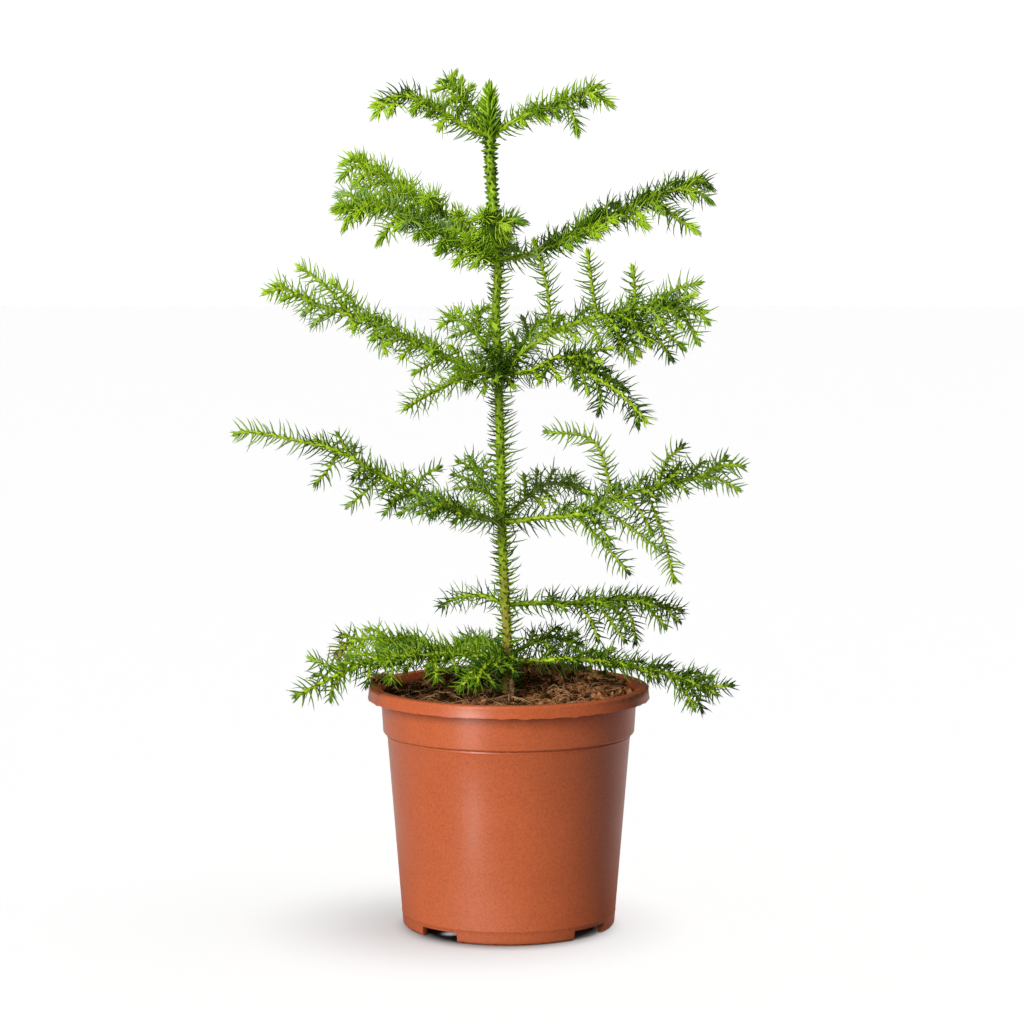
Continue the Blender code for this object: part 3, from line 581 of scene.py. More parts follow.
class PineColours(bpy.types.PropertyGroup):
    """Colours of the plant, its soil, its pot and the floor."""

    # Deep needles are older needles and also painted shade; light needles are younger and also painted light
    deep: colour_property("Deep needles", "Older needles in the shade", (0.030, 0.080, 0.001))
    mid: colour_property("Mid needles", "Most of the needles", (0.118, 0.240, 0.005))
    light: colour_property("Light needles", "Younger needles", (0.230, 0.400, 0.018))
    fresh: colour_property("Fresh needles", "New growth at the tips", (0.360, 0.560, 0.022))
    pale: colour_property("Pale needles", "Old needles with a bloom", (0.210, 0.345, 0.090))
    dry: colour_property("Dry needles", "Dead needles", (0.200, 0.100, 0.040))
    shoot: colour_property("Shoots", "Green stems and the feet of the needles", (0.270, 0.390, 0.015))
    trunk: colour_property("Trunk", "The trunk's green", (0.190, 0.295, 0.011))
    trunk_old: colour_property("Old trunk", "The trunk's tan foot", (0.290, 0.180, 0.048))
    pot: colour_property("Pot", "The pot's plastic", (0.430, 0.095, 0.031))
    soil: colour_property("Soil", "Damp peat", (0.058, 0.026, 0.010))
    floor: colour_property("Floor", "The studio floor", (0.45, 0.45, 0.45))


def smooth_curve(points, steps):
    """Evenly stepped points on one smooth curve through the given ones (a Catmull-Rom spline)."""
    before = points[0] * 2 - points[1]
    after = points[-1] * 2 - points[-2]
    line = [before, *points, after]
    spans = len(points) - 1
    found = []
    for step in range(steps + 1):
        place = step * spans / steps
        span = min(int(place), spans - 1)
        t = place - span
        a, b, c, d = line[span : span + 4]
        curved = (2 * a - 5 * b + 4 * c - d) * t * t + (3 * b - a - 3 * c + d) * t**3
        found.append(0.5 * (2 * b + (c - a) * t + curved))
    return found


def along(line, fraction):
    """The point and the direction at a fraction of a line's steps."""
    place = min(max(fraction, 0.0), 1.0) * (len(line) - 1)
    step = min(int(place), len(line) - 2)
    start = line[step]
    end = line[step + 1]
    return start.lerp(end, place - step), (end - start).normalized()


def trunk_line():
    """The trunk's centre line, from its flat foot on the soil to its tip."""
    points = [POT_AXIS + Vector((x, 0.0, TRUNK_FOOT + up)) for x, up in TRUNK_BENDS]
    return smooth_curve(points, PATH_STEPS)


def trunk_centre(height):
    """The trunk's centre at a height."""
    line = trunk_line()
    for low, high in zip(line, line[1:]):
        if low.z <= height <= high.z:
            return low.lerp(high, (height - low.z) / (high.z - low.z))
    return line[-1]


def trunk_radius(height):
    """The trunk's radius at a height: flared at the foot, an even taper, then a short point."""
    top = TRUNK_FOOT + TRUNK_BENDS[-1][1]
    share = (height - TRUNK_FOOT) / (top - TRUNK_FOOT)
    flare = ROOT_FLARE * math.exp(-(height - TRUNK_FOOT) / FLARE_HEIGHT)
    if share <= TRUNK_TAPER_ENDS:
        narrowing = TRUNK_TOP_RADIUS - TRUNK_FOOT_RADIUS
        return TRUNK_FOOT_RADIUS + narrowing * share / TRUNK_TAPER_ENDS + flare
    point = (share - TRUNK_TAPER_ENDS) / (1 - TRUNK_TAPER_ENDS)
    return TRUNK_TOP_RADIUS + (TRUNK_TIP_RADIUS - TRUNK_TOP_RADIUS) * point


def bough_line(name, spec):
    """The centre line of a bough and its foliage, from the trunk's middle to the tip."""
    node = trunk_centre(TIER_HEIGHTS[name.split("_")[0]] + spec["seat"])
    azimuth = math.radians(spec["azimuth"])
    outwards = Vector((math.cos(azimuth), math.sin(azimuth), 0.0))
    points = [node] + [node + outwards * reach + Vector((0, 0, rise)) for reach, rise in spec["path"]]
    return smooth_curve(points, PATH_STEPS)


def frond_axes(direction, roll):
    """The sideways and the upward direction of a frond that runs in a direction, turned by roll about it."""
    level = Vector((0, 0, 1)).cross(direction).normalized()
    upright = direction.cross(level)
    turn = math.radians(roll)
    sideways = level * math.cos(turn) + upright * math.sin(turn)
    return sideways, direction.cross(sideways)


def side_shoots(spec, line, rng):
    """The side shoots of a bough, each (place, from its root to its tip, from its root to its middle).

    The middle is None where the shoot isn't bent on purpose.
    """
    found = []
    azimuth = math.radians(spec["azimuth"])
    outwards = Vector((math.cos(azimuth), math.sin(azimuth), 0.0))
    leftwards = Vector((-math.sin(azimuth), math.cos(azimuth), 0.0))
    for place, *steps in spec["named"]:
        ends = []
        for forwards, left, up in zip(steps[0::3], steps[1::3], steps[2::3]):
            ends.append(outwards * forwards + leftwards * left + Vector((0, 0, up)))
        found.append((place, ends[0], ends[1] if len(ends) > 1 else None))
    if found:
        return found
    lean = math.radians(SHOOT_LEAN)
    for pair in range(spec["pairs"]):
        share = pair / (spec["pairs"] - 1)
        swell = 1.0 - LEAST_SHOOT * share
        for side in (-1, 1):
            place = spec["first"] + (LAST_PAIR - spec["first"]) * share + 0.5 * side * PAIR_STEP
            direction = along(line, place)[1]
            sideways = frond_axes(direction, spec["roll"])[0]
            length = spec["longest"] * swell * rng.uniform(1 - UNEVEN, 1 + UNEVEN)
            reach = (direction * math.cos(lean) + sideways * math.sin(lean) * side) * length
            found.append((place, reach, None))
    return found


class Heap:
    """Gathers many small shapes, to make one mesh of them."""

    def __init__(self):
        self.points = []
        self.faces = []
        self.count = 0

    def add(self, points, *faces):
        """Adds points and arrays of faces that count from the first of them."""
        self.points.append(np.asarray(points, float).reshape(-1, 3))
        for group in faces:
            self.faces.append(np.asarray(group, int) + self.count)
        self.count += len(self.points[-1])


def mesh_from(name, heap):
    """One mesh of all that a heap holds."""
    points = np.concatenate(heap.points).astype(np.float32)
    corners = np.concatenate([group.ravel() for group in heap.faces]).astype(np.int32)
    sizes = np.concatenate([np.full(len(group), group.shape[1]) for group in heap.faces])
    mesh = bpy.data.meshes.new(name)
    mesh.vertices.add(len(points))
    mesh.vertices.foreach_set("co", points.ravel())
    mesh.loops.add(len(corners))
    mesh.loops.foreach_set("vertex_index", corners)
    mesh.polygons.add(len(sizes))
    mesh.polygons.foreach_set("loop_start", (np.cumsum(sizes) - sizes).astype(np.int32))
    mesh.update(calc_edges=True)
    mesh.validate()
    return mesh


def add_piece(name, mesh, material, nodes=(), sharp=None):
    """Puts a mesh on the plant as one piece that stands for the given nodes of the frame."""
    piece = bpy.data.objects.new(name, mesh)
    plant_collection().objects.link(piece)
    mesh.materials.clear()
    mesh.materials.append(material)
    mesh.shade_smooth()
    if sharp is not None:
        mesh.set_sharp_from_angle(angle=math.radians(sharp))
    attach(piece, BODY)
    if nodes:
        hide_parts(*nodes)
    return piece


def plant_collection():
    """The collection that holds the plant, its soil and its pot."""
    found = bpy.data.collections.get("plant")
    if found is None:
        found = bpy.data.collections.new("plant")
        bpy.context.scene.collection.children.link(found)
    return found


def resampled(points, step):
    """Evenly spaced points along a line, and the distance along it of each."""
    path = np.array([list(point) for point in points], float)
    lengths = np.linalg.norm(np.diff(path, axis=0), axis=1)
    total = np.concatenate([[0.0], np.cumsum(lengths)])
    count = max(3, int(round(total[-1] / step)) + 1)
    places = np.linspace(0.0, total[-1], count)
    return np.stack([np.interp(places, total, path[:, axis]) for axis in range(3)], axis=1), places


def carried_frames(path, first_normal):
    """The direction, a normal carried along without twist and a second normal at each point of a path."""
    tangents = np.gradient(path, axis=0)
    tangents /= np.linalg.norm(tangents, axis=1)[:, None]
    normals = np.empty_like(tangents)
    normal = np.array(first_normal, float)
    for index, tangent in enumerate(tangents):
        normal = normal - tangent * (normal @ tangent)
        normal /= np.linalg.norm(normal)
        normals[index] = normal
    return tangents, normals, np.cross(tangents, normals)


def add_stem(heap, path, places, radii, frames, sides, cushions, ridge):
    """A closed tube with the raised cushions that run down from each needle's foot.

    cushions holds (distance along the stem, angle round it, length, half width) rows. ridge is their height.
    """
    tangents, normals, others = frames
    angles = np.arange(sides) * math.tau / sides
    rise = np.zeros((len(path), sides))
    if len(cushions):
        back = places[:, None] - cushions[None, :, 0]
        length = cushions[None, :, 2]
        run = np.where(back <= 0, 1 + back / length, 1 - back / (CUSHION_TOP * length))
        run = np.clip(run, 0, None)
        around = np.angle(np.exp(1j * (angles[:, None] - cushions[None, :, 1])))
        for ring in range(len(path)):
            near = np.flatnonzero(run[ring] > 0)
            if not len(near):
                continue
            offset = np.abs(around[:, near]) * radii[ring] / cushions[near, 3]
            across = np.clip(1 - offset**2, 0, None)
            rise[ring] = (across * run[ring, near]).max(axis=1)
    reach = radii[:, None] + ridge * rise
    cosines, sines = np.cos(angles)[None, :, None], np.sin(angles)[None, :, None]
    spokes = normals[:, None, :] * cosines + others[:, None, :] * sines
    rings = path[:, None, :] + spokes * reach[:, :, None]
    points = np.concatenate([rings.reshape(-1, 3), path[:1], path[-1:] + tangents[-1:] * radii[-1]])
    ring, side = np.meshgrid(np.arange(len(path) - 1), np.arange(sides), indexing="ij")
    low = (ring * sides + side).ravel()
    low_next = (ring * sides + (side + 1) % sides).ravel()
    walls = np.stack([low, low_next, low_next + sides, low + sides], axis=1)
    first = np.arange(sides)
    after = (first + 1) % sides
    last = (len(path) - 1) * sides
    foot = np.full(sides, len(path) * sides)
    foot_cap = np.stack([foot, after, first], axis=1)
    tip_cap = np.stack([foot + 1, last + first, last + after], axis=1)
    heap.add(points, walls, foot_cap, tip_cap)


def tapered_shapes(rows, rings, tip):
    """Points and faces of many needles at once, each bent in its own plane.

    A row holds foot (3), shoot's direction (3), way out (3), length, lean, curl, half width and sway.
    """
    foot, axis, out = rows[:, 0:3], rows[:, 3:6], rows[:, 6:9]
    length, lean, curl, width, sway = (rows[:, column, None] for column in range(9, 14))
    side = np.cross(axis, out)
    bend = np.where(np.abs(curl) < 1e-4, 1e-4, curl)

    def centre_at(place):
        now = lean - bend * place
        fore = (np.sin(lean) - np.sin(now)) / bend
        away = (np.cos(now) - np.cos(lean)) / bend
        return foot + length * (axis * fore + out * away + side * sway * place * place), now

    corners = []
    for place, thick, broad in rings:
        centre, now = centre_at(place)
        across = out * np.cos(now) - axis * np.sin(now)
        corners += [centre + across * width * thick, centre + side * width * broad]
        corners += [centre - across * width * thick, centre - side * width * broad]
    if tip:
        corners.append(centre_at(1.0)[0])
    points = np.stack(corners, axis=1)
    each = points.shape[1]
    start = np.arange(len(rows))[:, None] * each
    faces = []
    for ring in range(len(rings) - 1):
        for corner in range(4):
            low = ring * 4 + corner
            next_low = ring * 4 + (corner + 1) % 4
            faces.append(start + np.array([[low, low + 4, next_low + 4, next_low]]))
    quads = np.concatenate(faces)
    if not tip:
        return points, quads
    last = (len(rings) - 1) * 4
    ends = [start + np.array([[last + i, each - 1, last + (i + 1) % 4]]) for i in range(4)]
    return points, quads, np.concatenate(ends)


class Foliage:
    """Gathers the stems and the needles of all the shoots, by colour."""

    def __init__(self, sizes, rng):
        self.sizes = sizes
        self.rng = rng
        self.needles = {}
        self.feet = []
        self.boughs = Heap()
        self.twigs = Heap()

    def needle(self, colour, foot, axis, out, length, lean, curl, width, sway):
        """One needle from its foot. Angles are in radians."""
        row = (*foot, *axis, *out, length, lean, curl, width, sway)
        self.needles.setdefault(colour, []).append(row)
        self.feet.append(row)

    def shoot(self, line, radii, needle_length, step, colours, fresh_tip, clear, brush, bough=False):
        """One shoot: its stem with cushions, the needles in a spiral round it and the brush at its tip."""
        rng = self.rng
        path, places = resampled(line, STEM_STEP)
        kept = max(3, len(path) - round(BRUSH_DEPTH * brush / STEM_STEP))
        path, places = path[:kept], places[:kept]
        total = places[-1]
        frames = carried_frames(path, Vector((0.3, 0.2, 1.0)))
        stem_radii = radii[0] + (radii[1] - radii[0]) * places / total
        turn = rng.uniform(0, math.tau)
        cushions = []
        place = clear + NEEDLES_START
        colour = rng.choice(colours)
        next_colour = place + SPRAY_LENGTH
        closing = min(CLOSING_LENGTH, CLOSING_SHARE * total)
        while place < total - NEEDLES_END:
            left = total - place
            tightness = max(0.0, 1.0 - left / closing)
            turn += GOLDEN_ANGLE + rng.uniform(*NEEDLE_TURNS)
            index = int(place / total * (len(path) - 1))
            tangent = frames[0][index]
            out = frames[1][index] * math.cos(turn) + frames[2][index] * math.sin(turn)
            radius = stem_radii[index]
            length = needle_length * rng.uniform(*NEEDLE_LENGTHS)
            length *= 1.0 - 0.44 * tightness**1.5
            length *= 0.72 + 0.28 * min(1.0, (place - clear) / 0.005)
            lean = math.radians(rng.uniform(*NEEDLE_LEANS) - 40 * tightness**1.3)
            curl = math.radians(rng.uniform(*NEEDLE_CURLS) * (1 - 0.75 * tightness))
            width = self.sizes.needle_half_width * rng.uniform(*NEEDLE_WIDTHS)
            if place > next_colour:
                colour = rng.choice(colours)
                next_colour += SPRAY_LENGTH
            own = "fresh" if left < fresh_tip * rng.uniform(0.8, 1.2) else colour
            foot = path[index] + out * (radius - self.sizes.needle_foot)
            self.needle(own, foot, tangent, out, length, lean, curl, width, rng.uniform(*NEEDLE_SWAYS))
            cushions.append((place, turn, *CUSHION_SIZE))
            place += step * (1.0 - 0.25 * tightness) * rng.uniform(*NEEDLE_STEPS)
        self.tip_brush(path[-1], frames, brush, "fresh" if fresh_tip > 0 else colour)
        heap = self.boughs if bough else self.twigs
        sides = BOUGH_SIDES if bough else SHOOT_SIDES
        ridge = self.sizes.cushion_height
        add_stem(heap, path, places, stem_radii, frames, sides, np.array(cushions), ridge)

    def tip_brush(self, tip, frames, size, colour):
        """The closed brush of young needles at a shoot's tip."""
        rng = self.rng
        tangent, normal, other = (part[-1] for part in frames)
        turn = rng.uniform(0, math.tau)
        count = 3 + int(11 * size)
        for index in range(count):
            turn += GOLDEN_ANGLE
            out = normal * math.cos(turn) + other * math.sin(turn)
            share = index / (count - 1)
            foot = tip - tangent * (0.0006 + 0.0032 * share) * size + out * 0.0003
            lean = math.radians(3 + 15 * share + rng.uniform(-3, 3))
            length = BRUSH_NEEDLE * size * rng.uniform(0.88, 1.1)
            curl = math.radians(6)
            width = self.sizes.needle_half_width * 1.15
            self.needle(colour, foot, tangent, out, length, lean, curl, width, rng.uniform(-0.05, 0.05))


def side_line(root, reach, middle, nod, rng):
    """A side shoot's line from its root to its tip, through its middle if that is given, its tip nodding."""
    length = reach.length
    if middle is None:
        wander = Vector([rng.uniform(-0.06, 0.06) for _ in range(3)]) * length
        middle = reach * 0.5 + Vector((0, 0, 0.07 * length)) + wander
    line = smooth_curve([root, root + middle, root + reach], SHOOT_STEPS)
    for step, point in enumerate(line):
        point.z -= nod * (step / SHOOT_STEPS) ** 3
    return line


def grow_bough(foliage, name, spec, rng):
    """A bough with its side shoots, from the trunk to the tips."""
    tier = name.split("_")[0]
    needle_length, step, shares = TIER_NEEDLES[tier]
    # Some boughs share the colours in their own way, partly painted light and shade
    shares = BOUGH_SHARES_AND_PAINTED_LIGHT.get(name, shares)
    fresh, nod, brush = TIER_TIPS[tier]
    colours = [colour for colour, count in shares for _ in range(count)]
    line = bough_line(name, spec)
    clear = trunk_radius(line[0].z) + STEM_CLEAR
    radii = (BOUGH_RADIUS, BOUGH_TIP_RADIUS)
    foliage.shoot(line, radii, needle_length, step, colours, fresh, clear, brush, bough=True)
    for place, reach, middle in side_shoots(spec, line, rng):
        root = along(line, place)[0]
        twig = side_line(root, reach, middle, nod, rng)
        radii = (SHOOT_RADIUS, SHOOT_TIP_RADIUS)
        length = needle_length * SHOOT_NEEDLES
        young = fresh if rng.random() < FRESH_SHARE else 0.0
        shades = ["dry"] if place in WITHERED.get(name, ()) else colours
        foliage.shoot(twig, radii, length, step, shades, young, STEM_CLEAR, brush)


def needle_length_at(height):
    """The length of the trunk's needles at a height above the soil."""
    heights, lengths = zip(*TRUNK_NEEDLES)
    return float(np.interp(height, heights, lengths))


def grow_trunk(foliage, rng):
    """The trunk's stem with its cushions, its needles and the brush of needles at its top."""
    line = trunk_line()
    path, places = resampled(line, STEM_STEP)
    frames = carried_frames(path, (1.0, 0.0, 0.0))
    radii = np.array([trunk_radius(point[2]) for point in path]) - 0.0002
    stem = Heap()
    cushions = []
    turn = 0.0
    place = 0.0015
    total = places[-1]
    while place < total - 0.0003:
        turn += GOLDEN_ANGLE + rng.uniform(-0.12, 0.12)
        index = int(place / total * (len(path) - 1))
        tangent = frames[0][index]
        out = frames[1][index] * math.cos(turn) + frames[2][index] * math.sin(turn)
        left = total - place
        leader = place > LEADER_FROM
        length = needle_length_at(place) * rng.uniform(0.82, 1.15)
        lean = math.radians(rng.uniform(78, 92))
        curl = math.radians(rng.uniform(2, 20))
        colour = rng.choice(TRUNK_SHADES)
        stout = 1.0
        if leader:
            openness = min(1.0, left / LEADER_OPENING)
            length *= 0.92 + 0.16 * openness
            lean = math.radians(18 + 40 * openness + rng.uniform(-7, 7))
            curl = math.radians(rng.uniform(14, 34))
            colour = rng.choice(LEADER_YOUNG_SHADES if left < LEADER_YOUNG else LEADER_SHADES)
            stout = LEADER_STOUT
        elif place > TRUNK_KNOBS_FROM:
            lean = math.radians(rng.uniform(66, 100))
            colour = rng.choice(KNOB_SHADES)
            stout = KNOB_STOUT
        else:
            length *= (1.0 + 0.22 * out[0]) * rng.uniform(0.75, 1.15)
            lean = math.radians(rng.uniform(66, 98))
            curl = math.radians(rng.uniform(4, 62))
        width = foliage.sizes.needle_half_width * rng.uniform(0.9, 1.1) * stout
        foot = path[index] + out * (radii[index] - 0.0001)
        foliage.needle(colour, foot, tangent, out, length, lean, curl, width, rng.uniform(-0.32, 0.32))
        cushions.append((place, turn, *(KNOB_CUSHION if place > TRUNK_KNOBS_FROM else TRUNK_CUSHION)))
        place += TRUNK_NEEDLE_STEP * rng.uniform(0.8, 1.2) * (LEADER_STEP if leader else 1.0)
    ridges = np.interp(places, *zip(*TRUNK_RIDGES, (total, LEADER_RIDGE)))
    add_stem(stem, path, places, radii, frames, TRUNK_SIDES, np.array(cushions), ridges[:, None])
    return stem


def principled(name, colour, roughness, specular=0.5):
    """A new material with its shader set to plain values, and its node tree and shader."""
    material = bpy.data.materials.new(name)
    material.use_nodes = True
    shader = material.node_tree.nodes["Principled BSDF"]
    shader.inputs["Base Color"].default_value = (*colour, 1.0)
    shader.inputs["Roughness"].default_value = roughness
    shader.inputs["Specular IOR Level"].default_value = specular
    return material, material.node_tree, shader


def noise_node(tree, scale, detail=3.0, roughness=0.55, stretch=None):
    """A noise texture in the object's own coordinates, its scale in turns a metre."""
    coordinates = tree.nodes.new("ShaderNodeTexCoord")
    texture = tree.nodes.new("ShaderNodeTexNoise")
    texture.inputs["Scale"].default_value = scale
    texture.inputs["Detail"].default_value = detail
    texture.inputs["Roughness"].default_value = roughness
    source = coordinates.outputs["Object"]
    if stretch is not None:
        mapping = tree.nodes.new("ShaderNodeMapping")
        mapping.inputs["Scale"].default_value = stretch
        tree.links.new(source, mapping.inputs["Vector"])
        source = mapping.outputs["Vector"]
    tree.links.new(source, texture.inputs["Vector"])
    return texture


def ramp_node(tree, source, stops):
    """A colour ramp driven by a value, from (position, colour) stops."""
    ramp = tree.nodes.new("ShaderNodeValToRGB")
    elements = ramp.color_ramp.elements
    while len(elements) < len(stops):
        elements.new(0.5)
    for element, (position, colour) in zip(elements, stops):
        element.position = position
        element.color = (*colour, 1.0)
    tree.links.new(source, ramp.inputs["Fac"])
    return ramp


def mix_node(tree, first, second, share, blend="MIX"):
    """Two colours mixed. Each of the three is a socket or a value."""
    mix = tree.nodes.new("ShaderNodeMix")
    mix.data_type = "RGBA"
    mix.blend_type = blend
    for name, value in (("Factor", share), ("A", first), ("B", second)):
        socket = next(s for s in mix.inputs if s.name == name and s.enabled)
        if isinstance(value, bpy.types.NodeSocket):
            tree.links.new(value, socket)
        elif name == "Factor":
            socket.default_value = value
        else:
            socket.default_value = (*value, 1.0)
    return next(s for s in mix.outputs if s.enabled)


def math_node(tree, operation, first, second=0.0, third=None):
    """One sum on sockets or values."""
    node = tree.nodes.new("ShaderNodeMath")
    node.operation = operation
    for index, value in enumerate((first, second, third)):
        if value is None:
            continue
        if isinstance(value, bpy.types.NodeSocket):
            tree.links.new(value, node.inputs[index])
        else:
            node.inputs[index].default_value = value
    return node.outputs[0]


def limited(tree, value, most=1.0):
    """A value kept between nought and the most."""
    return math_node(tree, "MINIMUM", math_node(tree, "MAXIMUM", value, 0.0), most)


def rising(tree, value, slope, start):
    """A share that is nought at start and rises by the slope up to one. A negative slope falls."""
    return limited(tree, math_node(tree, "MULTIPLY_ADD", value, slope, -slope * start))


def own_place(tree, centre=None):
    """The sockets of x, y and z in the object's own coordinates, or counted from a centre."""
    source = tree.nodes.new("ShaderNodeTexCoord").outputs["Object"]
    if centre is not None:
        centred = tree.nodes.new("ShaderNodeVectorMath")
        centred.operation = "SUBTRACT"
        centred.inputs[1].default_value = centre
        tree.links.new(source, centred.inputs[0])
        source = centred.outputs["Vector"]
    split = tree.nodes.new("ShaderNodeSeparateXYZ")
    tree.links.new(source, split.inputs["Vector"])
    return [split.outputs[axis] for axis in "XYZ"]


def bump_node(tree, shader, height, strength, distance):
    """Small relief for a shader, from a height socket."""
    bump = tree.nodes.new("ShaderNodeBump")
    bump.inputs["Strength"].default_value = strength
    bump.inputs["Distance"].default_value = distance
    tree.links.new(height, bump.inputs["Height"])
    tree.links.new(bump.outputs["Normal"], shader.inputs["Normal"])


def scaled(colour, share):
    """A colour made lighter or darker."""
    return tuple(min(1.0, value * share) for value in colour)


def needle_material(name, colour):
    """Needles of one plain colour, with a waxy shine."""
    return principled(name, colour, 0.38, 0.20)[0]


def stem_material(name, colour, old=None):
    """Green stems that vary a little, and turn tan towards an old foot if that is given."""
    material, tree, shader = principled(name, colour, 0.45, 0.12)
    patches = noise_node(tree, 260.0, 4.0)
    shades = ((0.32, scaled(colour, 0.48)), (0.50, colour), (0.68, scaled(colour, 1.65)))
    colour_now = ramp_node(tree, patches.outputs["Fac"], shades).outputs["Color"]
    if old is not None:
        height = own_place(tree)[2]
        wander = noise_node(tree, 150.0, 3.0)
        age = math_node(tree, "MULTIPLY_ADD", height, -14.0, 14.0 * (TRUNK_FOOT + TAN_HEIGHT))
        age = math_node(tree, "ADD", age, math_node(tree, "SUBTRACT", wander.outputs["Fac"], 0.5))
        colour_now = mix_node(tree, colour_now, old, limited(tree, age, 0.85))
        off = math_node(tree, "ABSOLUTE", math_node(tree, "SUBTRACT", height, TRUNK_FOOT + SCAR_HEIGHT))
        near = math_node(tree, "MAXIMUM", math_node(tree, "MULTIPLY_ADD", off, -110.0, 1.05), 0.0)
        scars = noise_node(tree, 420.0, 4.0, stretch=(1.0, 1.0, 0.45))
        scar_share = math_node(tree, "MULTIPLY_ADD", scars.outputs["Fac"], 5.0, -2.2)
        burnt = limited(tree, math_node(tree, "MULTIPLY", near, scar_share), 0.9)
        colour_now = mix_node(tree, colour_now, SCAR_COLOUR, burnt)
    tree.links.new(colour_now, shader.inputs["Base Color"])
    fine = noise_node(tree, 900.0, 4.0)
    bump_node(tree, shader, fine.outputs["Fac"], 0.4, 0.0002)
    return material


def dust_and_painted_shade_share(tree):
    """Peat brown on the pot: thick painted shade inside below the lip, thin dust on the lip at the right."""
    x, y, z = own_place(tree, POT_AXIS)
    squares = math_node(tree, "MULTIPLY_ADD", x, x, math_node(tree, "MULTIPLY", y, y))
    radius = math_node(tree, "SQRT", squares)
    # Painted shade: the inner wall below the lip, darkened to peat brown
    inside = rising(tree, radius, -3000.0, RIM_RADIUS - 0.0071)
    upper = rising(tree, z, 500.0, RIM_HEIGHT - 0.018)
    inside = math_node(tree, "MULTIPLY", inside, upper)
    # Peat dust on the top of the lip, at the right
    lip = rising(tree, z, 600.0, RIM_HEIGHT - 0.0032)
    lip = math_node(tree, "MULTIPLY", lip, rising(tree, x, 40.0, 0.034))
    thick = math_node(tree, "MULTIPLY", inside, 0.9)
    share = math_node(tree, "MAXIMUM", thick, math_node(tree, "MULTIPLY", lip, 0.7))
    grain = noise_node(tree, 260.0, 5.0, 0.7)
    uneven = rising(tree, grain.outputs["Fac"], 4.0, 0.3)
    return math_node(tree, "MULTIPLY", share, uneven)


def pot_material(colour):
    """Moulded terracotta-coloured plastic: mottled, a few flecks, painted shade inside, peat dust, a duller
    foot.
    """
    material, tree, shader = principled("pot_plastic", colour, 0.32, 0.21)
    broad = noise_node(tree, 22.0, 3.0)
    clouds = ((0.30, scaled(colour, 0.94)), (0.70, scaled(colour, 1.07)))
    ramp = ramp_node(tree, broad.outputs["Fac"], clouds)
    mottle = noise_node(tree, 900.0, 5.0, 0.7)
    mottle_ramp = ramp_node(tree, mottle.outputs["Fac"], POT_MOTTLE)
    colour_now = mix_node(tree, ramp.outputs["Color"], mottle_ramp.outputs["Color"], 1.0, "MULTIPLY")
    for scale, reach, tone, share in POT_FLECKS:
        coordinates = tree.nodes.new("ShaderNodeTexCoord")
        flecks = tree.nodes.new("ShaderNodeTexVoronoi")
        flecks.inputs["Scale"].default_value = scale
        tree.links.new(coordinates.outputs["Object"], flecks.inputs["Vector"])
        dot = math_node(tree, "LESS_THAN", flecks.outputs["Distance"], reach)
        colour_now = mix_node(tree, colour_now, tone, math_node(tree, "MULTIPLY", dot, share))
    # Painted shade in peat brown inside below the lip, and peat dust on the lip at the right
    peat = dust_and_painted_shade_share(tree)
    colour_now = mix_node(tree, colour_now, PEAT_DUST_AND_SHADE, peat)
    tree.links.new(colour_now, shader.inputs["Base Color"])
    sheen = noise_node(tree, 60.0, 4.0)
    rough = math_node(tree, "MULTIPLY_ADD", sheen.outputs["Fac"], 0.10, 0.27)
    dull_foot = math_node(tree, "MULTIPLY_ADD", own_place(tree)[2], -6.0, 0.30)
    rough = math_node(tree, "ADD", rough, math_node(tree, "MAXIMUM", dull_foot, 0.0))
    rough = math_node(tree, "MULTIPLY_ADD", peat, 0.5, rough)
    tree.links.new(rough, shader.inputs["Roughness"])
    grain = noise_node(tree, 1400.0, 4.0, 0.65)
    bump_node(tree, shader, grain.outputs["Fac"], 0.22, 0.00025)
    return material


def soil_material(name, dark, light, scale=420.0, roughness=0.95):
    """Peat or bark, from dark to light."""
    material, tree, shader = principled(name, dark, roughness, 0.05)
    patches = noise_node(tree, scale, 5.0, 0.65)
    shades = ((0.36, scaled(dark, 0.35)), (0.50, dark), (0.66, light))
    ramp = ramp_node(tree, patches.outputs["Fac"], shades)
    tree.links.new(ramp.outputs["Color"], shader.inputs["Base Color"])
    fine = noise_node(tree, 1600.0, 5.0, 0.7)
    bump_node(tree, shader, fine.outputs["Fac"], 0.8, 0.0005)
    return material


def arc(centre, radius, start, end, steps):
    """Points of an arc in the pot's section, its angles in degrees."""
    found = []
    for step in range(steps + 1):
        angle = math.radians(start + (end - start) * step / steps)
        found.append((centre[0] + radius * math.cos(angle), centre[1] + radius * math.sin(angle)))
    return found


def wall_radius(height):
    """The outer radius of the pot's body below its collar."""
    return BODY_FOOT_RADIUS + (BODY_TOP_RADIUS - BODY_FOOT_RADIUS) * height / COLLAR_FOOT_HEIGHT


